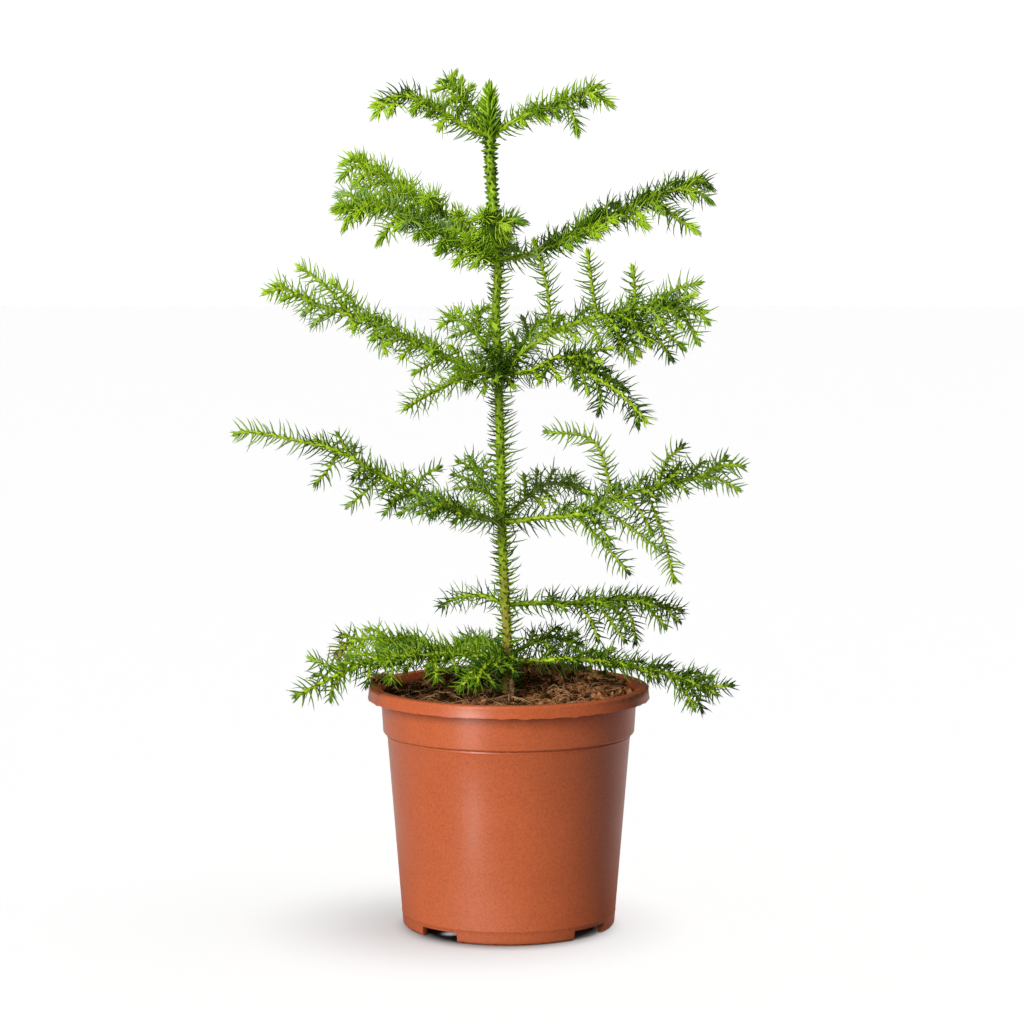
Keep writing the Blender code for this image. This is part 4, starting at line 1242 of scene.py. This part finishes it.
def pot_profile():
    """Half the pot's section: out under the base, up the outside, over the lip and down the inside."""
    foot_inside = BODY_FOOT_RADIUS - 2.2 * WALL
    base_top = BASE_UNDERSIDE + WALL
    lip_under = RIM_HEIGHT - LIP_DROP
    points = [(0.0, BASE_UNDERSIDE), (foot_inside - 0.0004, BASE_UNDERSIDE)]
    points += [(foot_inside, BASE_UNDERSIDE - 0.0004), (foot_inside, 0.0003), (foot_inside + 0.0003, 0.0)]
    points += arc((wall_radius(0.0014) - 0.0014, 0.0014), 0.0014, -90, 0, 5)
    for height in (0.0040, MOULD_LINE_HEIGHT - 0.0003):
        points.append((wall_radius(height), height))
    points.append((wall_radius(MOULD_LINE_HEIGHT) + 0.00013, MOULD_LINE_HEIGHT))
    for height in (MOULD_LINE_HEIGHT + 0.0003, 0.030, 0.060, COLLAR_FOOT_HEIGHT - 0.0022):
        points.append((wall_radius(height), height))
    points.append((BODY_TOP_RADIUS + 0.00035, COLLAR_FOOT_HEIGHT - 0.0012))
    points.append((BODY_TOP_RADIUS + 0.0001, COLLAR_FOOT_HEIGHT - 0.0005))
    points += arc((COLLAR_FOOT_RADIUS - 0.0010, COLLAR_FOOT_HEIGHT + 0.0009), 0.0010, -75, 0, 5)
    lip_roof = RIM_HEIGHT - 1.9 * WALL
    points.append((0.5 * (COLLAR_FOOT_RADIUS + COLLAR_TOP_RADIUS), 0.5 * (COLLAR_FOOT_HEIGHT + lip_roof)))
    points.append((COLLAR_TOP_RADIUS, lip_roof - 0.0005))
    points.append((COLLAR_TOP_RADIUS + 0.0005, lip_roof))
    points += [(RIM_RADIUS - WALL - 0.0004, lip_roof), (RIM_RADIUS - WALL, lip_roof - 0.0004)]
    points += [(RIM_RADIUS - WALL, lip_under + 0.0003), (RIM_RADIUS - 0.8 * WALL, lip_under)]
    points += [(RIM_RADIUS - 0.12 * WALL, lip_under - 0.0001), (RIM_RADIUS, lip_under)]
    points += [(RIM_RADIUS - 0.0002, lip_under + 0.0008), (RIM_RADIUS - 0.0005, RIM_HEIGHT - 0.0016)]
    points += arc((RIM_RADIUS - 0.0016, RIM_HEIGHT - 0.0012), 0.0011, 5, 85, 6)
    points += [(RIM_RADIUS - 0.0030, RIM_HEIGHT), (LIP_INSIDE + 0.0010, RIM_HEIGHT - 0.0002)]
    points += arc((LIP_INSIDE + 0.0006, RIM_HEIGHT - 0.0008), 0.0006, 95, 180, 4)
    points.append((COLLAR_TOP_RADIUS - WALL + 0.0003, lip_roof - 0.0004))
    points.append((COLLAR_FOOT_RADIUS - WALL, COLLAR_FOOT_HEIGHT + 0.0006))
    points.append((BODY_TOP_RADIUS - WALL, COLLAR_FOOT_HEIGHT - 0.0020))
    points += [(wall_radius(base_top) - WALL, base_top), (0.0, base_top)]
    return points


def turned(profile, segments):
    """A closed mesh turned about the pot's axis from (radius, height) points that start and end on it."""
    shape = bmesh.new()
    verts = [shape.verts.new((radius, 0.0, height)) for radius, height in profile]
    edges = [shape.edges.new(pair) for pair in zip(verts, verts[1:])]
    bmesh.ops.spin(
        shape,
        geom=verts + edges,
        cent=(0, 0, 0),
        axis=(0, 0, 1),
        angle=math.tau,
        steps=segments,
        use_merge=True,
    )
    bmesh.ops.remove_doubles(shape, verts=shape.verts[:], dist=1e-6)
    bmesh.ops.recalc_face_normals(shape, faces=shape.faces[:])
    return shape


def roughen_lip(shape):
    """The uneven edge that moulding leaves under the lip, and its small nub."""
    under = RIM_HEIGHT - LIP_DROP
    for vertex in shape.verts:
        radius = math.hypot(vertex.co.x, vertex.co.y)
        if radius < RIM_RADIUS - WALL - 0.0001 or vertex.co.z > under + 0.0010:
            continue
        azimuth = math.atan2(vertex.co.y, vertex.co.x)
        place = Vector((math.cos(azimuth), math.sin(azimuth), 0.0))
        ragged = noise.noise(place * 14.0) + 0.7 * noise.noise(place * 60.0)
        vertex.co.z -= RAGGED_EDGE * max(0.0, ragged + 0.20)
        nub = math.exp(-((math.degrees(azimuth) - NUB_AZIMUTH) ** 2) / 0.8)
        vertex.co.z -= NUB_LENGTH * nub


def notch_cutter():
    """The notches that leave the pot's feet, as one shape with rounded upper corners."""
    shape = bmesh.new()
    depth = 4 * WALL
    for index in range(FOOT_NOTCHES):
        azimuth = math.radians(NOTCH_FIRST_AZIMUTH + index * 360 / FOOT_NOTCHES)
        outwards = Matrix.Translation((BODY_FOOT_RADIUS - 0.2 * depth, 0, 0))
        place = Matrix.Rotation(azimuth, 4, "Z") @ outwards
        size = Matrix.Diagonal((2 * depth, NOTCH_WIDTH, 2 * NOTCH_HEIGHT, 1))
        bmesh.ops.create_cube(shape, size=1.0, matrix=place @ size)
    along_depth = []
    for edge in shape.edges:
        run = edge.verts[0].co - edge.verts[1].co
        if abs(run.z) < 1e-6 and abs(run.length - 2 * depth) < 1e-5:
            along_depth.append(edge)
    bmesh.ops.bevel(shape, geom=along_depth, offset=0.0007, segments=3, affect="EDGES", profile=0.5)
    return shape


def drain_cutter():
    """The drain holes in the base."""
    shape = bmesh.new()
    for index in range(DRAIN_HOLES):
        azimuth = math.radians(index * 360 / DRAIN_HOLES)
        place = Matrix.Rotation(azimuth, 4, "Z") @ Matrix.Translation((DRAIN_CIRCLE, 0, BASE_UNDERSIDE))
        bmesh.ops.create_cone(
            shape,
            cap_ends=True,
            segments=32,
            radius1=DRAIN_RADIUS,
            radius2=DRAIN_RADIUS,
            depth=4 * WALL,
            matrix=place,
        )
    return shape


def mesh_of(name, shape):
    """A mesh made from a bmesh, moved onto the pot's axis."""
    mesh = bpy.data.meshes.new(name)
    shape.to_mesh(mesh)
    shape.free()
    mesh.transform(Matrix.Translation(POT_AXIS))
    return mesh


def shaped(obj):
    """The mesh that an object's modifiers give. The object is removed."""
    bpy.context.view_layer.update()
    graph = bpy.context.evaluated_depsgraph_get()
    mesh = bpy.data.meshes.new_from_object(obj.evaluated_get(graph))
    bpy.data.objects.remove(obj, do_unlink=True)
    return mesh


def build_pot(settings):
    """The pot's shell: turned, notched, drilled and with its edges rounded."""
    shell_shape = turned(pot_profile(), POT_SEGMENTS)
    roughen_lip(shell_shape)
    shell = bpy.data.objects.new("pot_form", mesh_of("pot_form", shell_shape))
    bpy.context.scene.collection.objects.link(shell)
    cutters = []
    for name, shape in (("notches", notch_cutter()), ("drains", drain_cutter())):
        cutter = bpy.data.objects.new(name, mesh_of(name, shape))
        bpy.context.scene.collection.objects.link(cutter)
        cutters.append(cutter)
        modifier = shell.modifiers.new(name, "BOOLEAN")
        modifier.operation = "DIFFERENCE"
        modifier.solver = "EXACT"
        modifier.object = cutter
    soften = shell.modifiers.new("rounded edges", "BEVEL")
    soften.limit_method = "ANGLE"
    soften.angle_limit = math.radians(55)
    soften.width = 0.00028
    soften.segments = 2
    soften.use_clamp_overlap = True
    mesh = shaped(shell)
    for cutter in cutters:
        bpy.data.objects.remove(cutter, do_unlink=True)
    add_piece("pot_shell", mesh, pot_material(settings.pot), ["pot"], sharp=40)


def soil_height(x, y, lump):
    """The height of the soil's surface at a place counted from the pot's axis."""
    radius = math.hypot(x, y)
    place = Vector((x, y, 0.0))
    height = TRUNK_FOOT - 0.0010
    height += lump * 0.9 * noise.fractal(place * 55.0, 0.9, 2.1, 4)
    height += lump * 0.5 * abs(noise.noise(place * 190.0 + Vector((3.0, 1.0, 7.0))))
    piles = 0.0
    for right, away, spread, pile in SOIL_PILES:
        piles += pile * math.exp(-((x - right) ** 2 + (y - away) ** 2) / (2 * spread**2))
    height += piles
    rise = min(max((y - 0.008) / 0.034, 0.0), 1.0) * min(max((x + 0.052) / 0.030, 0.0), 1.0)
    height += 0.0054 * rise * rise * (3 - 2 * rise)
    near_trunk = math.exp(-((x + 0.0003) ** 2 + y**2) / (2 * 0.0045**2))
    height = height * (1 - near_trunk) + (TRUNK_FOOT + 0.0006) * near_trunk
    fall = max(0.0, (radius - 0.050) / (SOIL_RADIUS - 0.050))
    return min(height - 0.0006 * fall**2, RIM_HEIGHT + 0.0030 * (1 - fall) - 0.0003)


def build_soil(sizes, colours):
    """The lumpy bed of peat, with a skirt down the pot's wall."""
    points = [(0.0, 0.0, soil_height(0.0, 0.0, sizes.soil_lump))]
    for ring in range(1, SOIL_RINGS + 1):
        radius = SOIL_RADIUS * ring / SOIL_RINGS
        for segment in range(SOIL_SEGMENTS):
            angle = math.tau * segment / SOIL_SEGMENTS
            x, y = radius * math.cos(angle), radius * math.sin(angle)
            points.append((x, y, soil_height(x, y, sizes.soil_lump)))
    for radius, height in SOIL_SKIRT:
        for segment in range(SOIL_SEGMENTS):
            angle = math.tau * segment / SOIL_SEGMENTS
            points.append((radius * math.cos(angle), radius * math.sin(angle), height))
    points.append((0.0, 0.0, SOIL_SKIRT[-1][1]))
    ring_count = SOIL_RINGS + len(SOIL_SKIRT)
    ring, segment = np.meshgrid(np.arange(ring_count - 1), np.arange(SOIL_SEGMENTS), indexing="ij")
    low = 1 + (ring * SOIL_SEGMENTS + segment).ravel()
    low_next = 1 + (ring * SOIL_SEGMENTS + (segment + 1) % SOIL_SEGMENTS).ravel()
    walls = np.stack([low, low + SOIL_SEGMENTS, low_next + SOIL_SEGMENTS, low_next], axis=1)
    first = np.arange(SOIL_SEGMENTS)
    after = (first + 1) % SOIL_SEGMENTS
    middle = np.stack([np.zeros(SOIL_SEGMENTS, int), 1 + first, 1 + after], axis=1)
    last = 1 + (ring_count - 1) * SOIL_SEGMENTS
    under = np.stack([np.full(SOIL_SEGMENTS, len(points) - 1), last + after, last + first], axis=1)
    heap = Heap()
    heap.add(np.array(points) + np.array(POT_AXIS), walls, middle, under)
    material = soil_material("peat", colours.soil, (0.150, 0.062, 0.022))
    add_piece("soil_bed", mesh_from("soil_bed", heap), material, ["soil"])


def ball(subdivisions):
    """Points and triangles of a small round shape."""
    shape = bmesh.new()
    bmesh.ops.create_icosphere(shape, subdivisions=subdivisions, radius=1.0)
    points = np.array([list(vertex.co) for vertex in shape.verts])
    faces = np.array([[vertex.index for vertex in face.verts] for face in shape.faces])
    shape.free()
    return points, faces


def random_turn(rng):
    """A random rotation as an array."""
    axis = Vector((rng.gauss(0, 1), rng.gauss(0, 1), rng.gauss(0, 1))).normalized()
    return np.array(Matrix.Rotation(rng.uniform(0, math.tau), 3, axis))


def place_on_soil(rng, lump, reach=0.97):
    """A random place on the soil, from the pot's axis."""
    radius = reach * SOIL_RADIUS * math.sqrt(rng.random())
    angle = rng.uniform(0, math.tau)
    x, y = radius * math.cos(angle), radius * math.sin(angle)
    return Vector((x, y, soil_height(x, y, lump)))


def add_crumb(heap, shape, centre, size, rng):
    """One uneven crumb."""
    points, faces = shape
    squash = np.array([rng.uniform(0.7, 1.3), rng.uniform(0.7, 1.3), rng.uniform(0.55, 1.0)])
    rough = np.array([rng.uniform(0.72, 1.25) for _ in range(len(points))])
    placed = (points * rough[:, None] * squash * size) @ random_turn(rng).T
    heap.add(placed + np.array(centre + POT_AXIS), faces)


def add_strand(heap, line, radius, sides=5):
    """A thin strand along a line, thinner at both ends."""
    path, places = resampled(line, max(radius * 3, 0.0008))
    frames = carried_frames(path, (0.2, 0.3, 1.0))
    share = places / places[-1]
    radii = radius * (0.25 + 0.75 * np.sin(np.pi * np.clip(share, 0.04, 0.96)) ** 0.5)
    add_stem(heap, path, places, radii, frames, sides, np.zeros((0, 4)), 0.0)


def loose_line(start, heading, length, arch, rng):
    """A bent line that lies loosely, given from the pot's axis."""
    direction = Vector((math.cos(heading), math.sin(heading), 0.0))
    sideways = Vector((-direction.y, direction.x, 0.0))
    bow = rng.uniform(-0.30, 0.30) * length
    points = []
    for step in range(5):
        t = step / 4
        curve = math.sin(math.pi * t)
        lift = Vector((0, 0, arch * curve + rng.uniform(-0.0004, 0.0004)))
        points.append(POT_AXIS + start + direction * length * (t - 0.5) + sideways * bow * curve + lift)
    return smooth_curve(points, 12)


def place_on_rim(rng, spread, inwards, rise):
    """A random place on the pot's lip at the left, where peat was spilt, from the pot's axis."""
    angle = math.radians(rng.gauss(RIM_AZIMUTH, spread))
    radius = RIM_RADIUS - rng.uniform(*inwards)
    return Vector((radius * math.cos(angle), radius * math.sin(angle), RIM_HEIGHT + rng.uniform(*rise)))


def scatter_crumbs(sizes, rng, small, large):
    """Crumbs and clods, dark at the left and brown at the right, and crumbs on the lip."""
    dark = soil_material("crumbs_dark", (0.040, 0.017, 0.005), (0.095, 0.042, 0.012))
    brown = soil_material("crumbs_brown", (0.235, 0.088, 0.028), (0.460, 0.230, 0.110))
    heaps = {"crumbs_dark": Heap(), "crumbs_brown": Heap()}

    def heap_for(brown_share):
        return heaps["crumbs_brown" if rng.random() < brown_share else "crumbs_dark"]

    for _ in range(sizes.crumbs):
        place = place_on_soil(rng, sizes.soil_lump)
        size = 0.00042 + 0.0013 * rng.random() ** 3.2
        share = 0.09 + 0.58 * (place.x > BROWN_FROM) + 0.18 * (place.y < -0.03) - 0.08 * (place.y > 0.02)
        heap = heap_for(share)
        place.z += 0.3 * size
        add_crumb(heap, large if size > 0.0011 else small, place, size, rng)
    for _ in range(CLODS):
        place = place_on_soil(rng, sizes.soil_lump, 0.94)
        size = rng.uniform(0.0018, 0.0040)
        place.z -= 0.15 * size
        add_crumb(heap_for(0.14 + 0.60 * (place.x > BROWN_FROM)), large, place, size, rng)
    for _ in range(RIM_CRUMBS):
        place = place_on_rim(rng, 4.5, (0.0010, 0.0085), (0.0, 0.0030))
        add_crumb(heap_for(0.7), small, place, 0.0009, rng)
    for (name, heap), material in zip(heaps.items(), (dark, brown)):
        add_piece("soil_" + name, mesh_from("soil_" + name, heap), material, sharp=35)


def scatter_chips(sizes, rng, large):
    """Flat chips of bark."""
    points, faces = large
    chips = Heap()
    for _ in range(CHIPS):
        place = place_on_soil(rng, sizes.soil_lump, 0.94)
        length = rng.uniform(0.0012, 0.0028)
        size = np.array([length, rng.uniform(0.0006, 0.0014), rng.uniform(0.0002, 0.0005)])
        rough = np.array([rng.uniform(0.75, 1.25) for _ in range(len(points))])
        chip = (points * rough[:, None] * size) @ random_turn(rng).T
        chips.add(chip + np.array(place + POT_AXIS), faces)
    bark = soil_material("bark_chips", (0.240, 0.100, 0.050), (0.420, 0.210, 0.120), 700.0, 0.8)
    add_piece("soil_bark_chips", mesh_from("soil_bark_chips", chips), bark, sharp=35)


def scatter_strands(sizes, rng):
    """Brown fibres and pale roots on the soil and on the lip, and the roots that fan out from the stub."""
    fibres = Heap()
    roots = Heap()
    for _ in range(sizes.fibres):
        place = place_on_soil(rng, sizes.soil_lump, 0.93)
        place.z += 0.0003
        length = rng.uniform(0.004, 0.016)
        line = loose_line(place, rng.uniform(0, math.tau), length, rng.uniform(0.0, 0.0022), rng)
        add_strand(fibres, line, rng.uniform(0.00007, 0.00018))
    for _ in range(ROOTS):
        place = place_on_soil(rng, sizes.soil_lump, 0.90)
        place.z += 0.0006
        length = rng.uniform(0.004, 0.015)
        line = loose_line(place, rng.uniform(0, math.tau), length, rng.uniform(0.0004, 0.0030), rng)
        add_strand(roots, line, rng.uniform(0.00010, 0.00022))
    for _ in range(RIM_STRANDS):
        place = place_on_rim(rng, 5, (0.001, 0.008), (0.0006, 0.003))
        line = loose_line(place, rng.uniform(0, math.tau), rng.uniform(0.003, 0.007), 0.0008, rng)
        add_strand(fibres if rng.random() < 0.6 else roots, line, 0.00015)
    for _ in range(STUB_ROOTS):
        heading = rng.uniform(-0.5, math.pi + 0.5) + math.pi
        length = rng.uniform(0.005, 0.011)
        away = Vector((math.cos(heading), 0.35 * math.sin(heading), 0.0)) * length
        rise = Vector((0, 0, rng.uniform(0.0012, 0.0036)))
        points = [STUB_PLACE + rise]
        for out, up in ((0.4, 0.75), (0.8, 0.45)):
            points.append(STUB_PLACE + away * out + rise * up)
        points.append(STUB_PLACE + away + rise * 0.1)
        line = smooth_curve([POT_AXIS + point for point in points], 12)
        add_strand(roots, line, rng.uniform(0.00014, 0.00034))
    brown = principled("fibre_brown", (0.250, 0.120, 0.055), 0.9, 0.1)[0]
    straw = principled("root_straw", (0.400, 0.230, 0.100), 0.8, 0.2)[0]
    add_piece("soil_fibres", mesh_from("soil_fibres", fibres), brown)
    add_piece("soil_roots", mesh_from("soil_roots", roots), straw)


def build_stub(rng):
    """The short woody stub that stands in the soil in front of the trunk."""
    stub = Heap()
    foot = Vector((STUB_PLACE.x, STUB_PLACE.y, TRUNK_FOOT - 0.003))
    line = []
    for t in (0, 0.25, 0.5, 0.75, 1):
        line.append(POT_AXIS + foot + Vector((0.0012 * math.sin(2.2 * t), 0.0, 0.0125 * t)))
    path, places = resampled(line, 0.0004)
    frames = carried_frames(path, (1.0, 0.0, 0.0))
    share = places / places[-1]
    radii = 0.0011 + 0.0008 * np.exp(-share * 4) + 0.00012 * np.sin(share * 23)
    knots = []
    for _ in range(STUB_KNOTS):
        knots.append((rng.uniform(0, places[-1]), rng.uniform(0, math.tau), 0.003, 0.0007))
    add_stem(stub, path, places, radii, frames, 16, np.array(knots), 0.0004)
    wood = soil_material("stub_wood", (0.170, 0.085, 0.042), (0.360, 0.220, 0.120), 500.0, 0.8)
    add_piece("soil_stub", mesh_from("soil_stub", stub), wood)


def build_litter(sizes):
    """What lies on the soil: crumbs, bark chips, fibres, pale roots and a woody stub."""
    rng = random.Random(SEED + 5)
    small, large = ball(1), ball(2)
    scatter_crumbs(sizes, rng, small, large)
    scatter_chips(sizes, rng, large)
    scatter_strands(sizes, rng)
    build_stub(rng)


def needle_heaps(name, rows, rings, tip):
    """Heaps of needles, each small enough for one piece."""
    each = (len(rings) - 1) * 8 + (4 if tip else 0)
    count = max(1, math.ceil(len(rows) * each / PIECE_TRIANGLES))
    found = []
    for index, part in enumerate(np.array_split(np.array(rows), count)):
        heap = Heap()
        heap.add(*tapered_shapes(part, rings, tip))
        found.append((f"{name}_{index + 1}" if count > 1 else name, heap))
    return found


def build_plant(sizes, colours):
    """The trunk, the boughs, the twigs and all the needles."""
    rng = random.Random(SEED)
    foliage = Foliage(sizes, rng)
    trunk = grow_trunk(foliage, rng)
    for name, spec in BOUGHS.items():
        grow_bough(foliage, name, spec, rng)
    trunk_look = stem_material("trunk_bark", colours.trunk, colours.trunk_old)
    add_piece("trunk_stem", mesh_from("trunk_stem", trunk), trunk_look, ["trunk"])
    bough_look = stem_material("bough_bark", colours.shoot)
    add_piece("bough_stems", mesh_from("bough_stems", foliage.boughs), bough_look, BOUGH_NODES)
    twig_look = needle_material("twig_green", colours.shoot)
    add_piece("twigs", mesh_from("twigs", foliage.twigs), twig_look, FOLIAGE_NODES)
    for name, heap in needle_heaps("needle_feet", foliage.feet, FOOT_RINGS, False):
        add_piece(name, mesh_from(name, heap), twig_look)
    # The deep and light needle colours are partly painted shade and painted light
    for colour, rows in sorted(foliage.needles.items()):
        look = needle_material("needle_" + colour, getattr(colours, colour))
        for name, heap in needle_heaps("needles_" + colour, rows, NEEDLE_RINGS, True):
            add_piece(name, mesh_from(name, heap), look, FOLIAGE_NODES)


def build_floor(colour):
    """A wide pale floor, bright to look at, duller in reflections and duller still as light on the plant."""
    shape = bmesh.new()
    bmesh.ops.create_grid(shape, x_segments=8, y_segments=8, size=12.0)
    floor = bpy.data.objects.new("studio_floor", mesh_of("studio_floor", shape))
    bpy.context.scene.collection.objects.link(floor)
    material, tree, shader = principled("studio_floor", colour, 0.9, 0.1)
    path = tree.nodes.new("ShaderNodeLightPath")
    seen = mix_node(tree, tuple(colour), scaled(colour, 0.26), path.outputs["Is Diffuse Ray"])
    seen = mix_node(tree, seen, scaled(colour, 0.70), path.outputs["Is Glossy Ray"])
    tree.links.new(seen, shader.inputs["Base Color"])
    floor.data.materials.append(material)
    return floor


def build_world():
    """A white room: full white to look at, softer in reflections and softest as light."""
    world = bpy.data.worlds.new("studio")
    world.use_nodes = True
    tree = world.node_tree
    background = tree.nodes["Background"]
    background.inputs["Color"].default_value = (1.0, 1.0, 1.0, 1.0)
    path = tree.nodes.new("ShaderNodeLightPath")
    strength = math_node(tree, "MULTIPLY_ADD", path.outputs["Is Diffuse Ray"], -0.94, 1.06)
    strength = math_node(tree, "MULTIPLY_ADD", path.outputs["Is Glossy Ray"], -0.97, strength)
    tree.links.new(strength, background.inputs["Strength"])
    bpy.context.scene.world = world


def add_light(name, kind, place, target, energy):
    """A light that looks at a point. Places are given from the pot's axis."""
    data = bpy.data.lights.new(name, kind)
    data.energy = energy
    light = bpy.data.objects.new(name, data)
    light.location = POT_AXIS + Vector(place)
    light.rotation_mode = "QUATERNION"
    light.rotation_quaternion = (Vector(target) - Vector(place)).to_track_quat("-Z", "Y")
    light.visible_camera = False
    bpy.context.scene.collection.objects.link(light)
    return light


def linked_group(name, obj):
    """A collection of one object, for lights that only fall on it or that only it blocks."""
    group = bpy.data.collections.new(name)
    group.objects.link(obj)
    return group


def build_flag():
    """A round flag, unseen, that keeps the open light from under the pot."""
    shape = bmesh.new()
    bmesh.ops.create_circle(shape, cap_ends=True, segments=48, radius=FLAG_RADIUS)
    flag = bpy.data.objects.new("studio_flag", mesh_of("studio_flag", shape))
    flag.location = FLAG_PLACE
    flag.visible_camera = False
    flag.visible_diffuse = False
    flag.visible_glossy = False
    bpy.context.scene.collection.objects.link(flag)
    return flag


def area_light(name, place, target, energy, width, height=None):
    """A soft box, or a round light where no height is given."""
    light = add_light(name, "AREA", place, target, energy)
    light.data.shape = "RECTANGLE" if height else "DISK"
    light.data.size = width
    if height:
        light.data.size_y = height
    return light


def build_lights(floor):
    """Three lights for the plant and its pot, two for the pot alone and three suns for the floor alone."""
    key = area_light("key", (-0.675, -1.169, 0.62), (0, 0, 0.20), 28.0, 0.26, 1.00)
    top = area_light("top", (-0.25, -0.10, 1.35), (0, 0, 0.2), 5.0, 0.8)
    back = area_light("back", (-0.23, 1.33, 0.75), (0, 0, 0.2), 8.0, 0.6)
    back.visible_glossy = False
    strip = area_light("strip", (-0.774, -1.106, -0.08), (0, 0, -0.08), 12.2, 0.09, 1.24)
    strip.visible_diffuse = False
    edge = area_light("edge", (0.881, 0.739, 0.30), (0, 0, 0.05), 4.8, 0.3)
    edge.visible_glossy = False
    pot_only = linked_group("pot_alone", bpy.data.objects["pot_shell"])
    for light in (key, top, back, strip, edge):
        light.light_linking.receiver_collection = pot_only if light in (strip, edge) else plant_collection()
        light.light_linking.blocker_collection = plant_collection()
    lit_floor = linked_group("lit_floor", floor)
    suns = (
        ("open", (0.0, 0.0, 1.0), 3.45, 60, linked_group("flags", build_flag())),
        ("shade", (0.163, 0.059, 0.985), 2.85, 44, pot_only),
        ("low_shade", (0.643, 0.0, 0.766), 0.50, 50, pot_only),
    )
    for name, towards, strength, angle, blockers in suns:
        sun = add_light(name, "SUN", towards, (0, 0, 0), strength)
        sun.data.angle = math.radians(angle)
        sun.light_linking.receiver_collection = lit_floor
        sun.light_linking.blocker_collection = blockers


def build_camera():
    """The camera, at the height and distance that the plant is seen from."""
    data = bpy.data.cameras.new("camera")
    data.sensor_width = CAMERA_SENSOR
    data.lens = CAMERA_LENS
    data.clip_start = 0.01
    data.clip_end = 100.0
    camera = bpy.data.objects.new("camera", data)
    camera.location = POT_AXIS + CAMERA_PLACE
    camera.rotation_mode = "QUATERNION"
    camera.rotation_quaternion = (CAMERA_TARGET - CAMERA_PLACE).to_track_quat("-Z", "Y")
    bpy.context.scene.collection.objects.link(camera)
    bpy.context.scene.camera = camera


class PINE_OT_plant(bpy.types.Operator):
    """Build the trunk, the boughs, the twigs and the needles"""

    bl_idname = "pine.plant"
    bl_label = "Plant"

    def execute(self, context):
        build_plant(context.scene.pine_sizes, context.scene.pine_colours)
        return {"FINISHED"}


class PINE_OT_pot(bpy.types.Operator):
    """Build the pot"""

    bl_idname = "pine.pot"
    bl_label = "Pot"

    def execute(self, context):
        build_pot(context.scene.pine_colours)
        return {"FINISHED"}


class PINE_OT_soil(bpy.types.Operator):
    """Build the bed of soil"""

    bl_idname = "pine.soil"
    bl_label = "Soil"

    def execute(self, context):
        build_soil(context.scene.pine_sizes, context.scene.pine_colours)
        return {"FINISHED"}


class PINE_OT_litter(bpy.types.Operator):
    """Scatter crumbs, chips, fibres and roots on the soil"""

    bl_idname = "pine.litter"
    bl_label = "Soil litter"

    def execute(self, context):
        build_litter(context.scene.pine_sizes)
        return {"FINISHED"}


class PINE_OT_stage(bpy.types.Operator):
    """Set up the floor, the lights and the camera"""

    bl_idname = "pine.stage"
    bl_label = "Studio"

    def execute(self, context):
        floor = build_floor(context.scene.pine_colours.floor)
        build_world()
        build_lights(floor)
        build_camera()
        context.scene.view_settings.view_transform = "Standard"
        return {"FINISHED"}


class PINE_PT_panel(bpy.types.Panel):
    """Lists the builders and their settings"""

    bl_label = "Norfolk Island Pine"
    bl_idname = "PINE_PT_panel"
    bl_space_type = "VIEW_3D"
    bl_region_type = "UI"
    bl_category = "Pine"

    def draw(self, context):
        for operator in OPERATORS:
            self.layout.operator(operator.bl_idname)
        for group in (context.scene.pine_sizes, context.scene.pine_colours):
            box = self.layout.box()
            for name in group.__annotations__:
                box.prop(group, name)


OPERATORS = (PINE_OT_plant, PINE_OT_pot, PINE_OT_soil, PINE_OT_litter, PINE_OT_stage)
CLASSES = (PineSizes, PineColours, *OPERATORS, PINE_PT_panel)


def register():
    for cls in CLASSES:
        bpy.utils.register_class(cls)
    bpy.types.Scene.pine_sizes = bpy.props.PointerProperty(type=PineSizes)
    bpy.types.Scene.pine_colours = bpy.props.PointerProperty(type=PineColours)


def unregister():
    del bpy.types.Scene.pine_colours
    del bpy.types.Scene.pine_sizes
    for cls in reversed(CLASSES):
        bpy.utils.unregister_class(cls)


def main():
    register()
    bpy.ops.pine.plant()
    bpy.ops.pine.pot()
    bpy.ops.pine.soil()
    bpy.ops.pine.litter()
    bpy.ops.pine.stage()


if __name__ == "__main__":
    main()
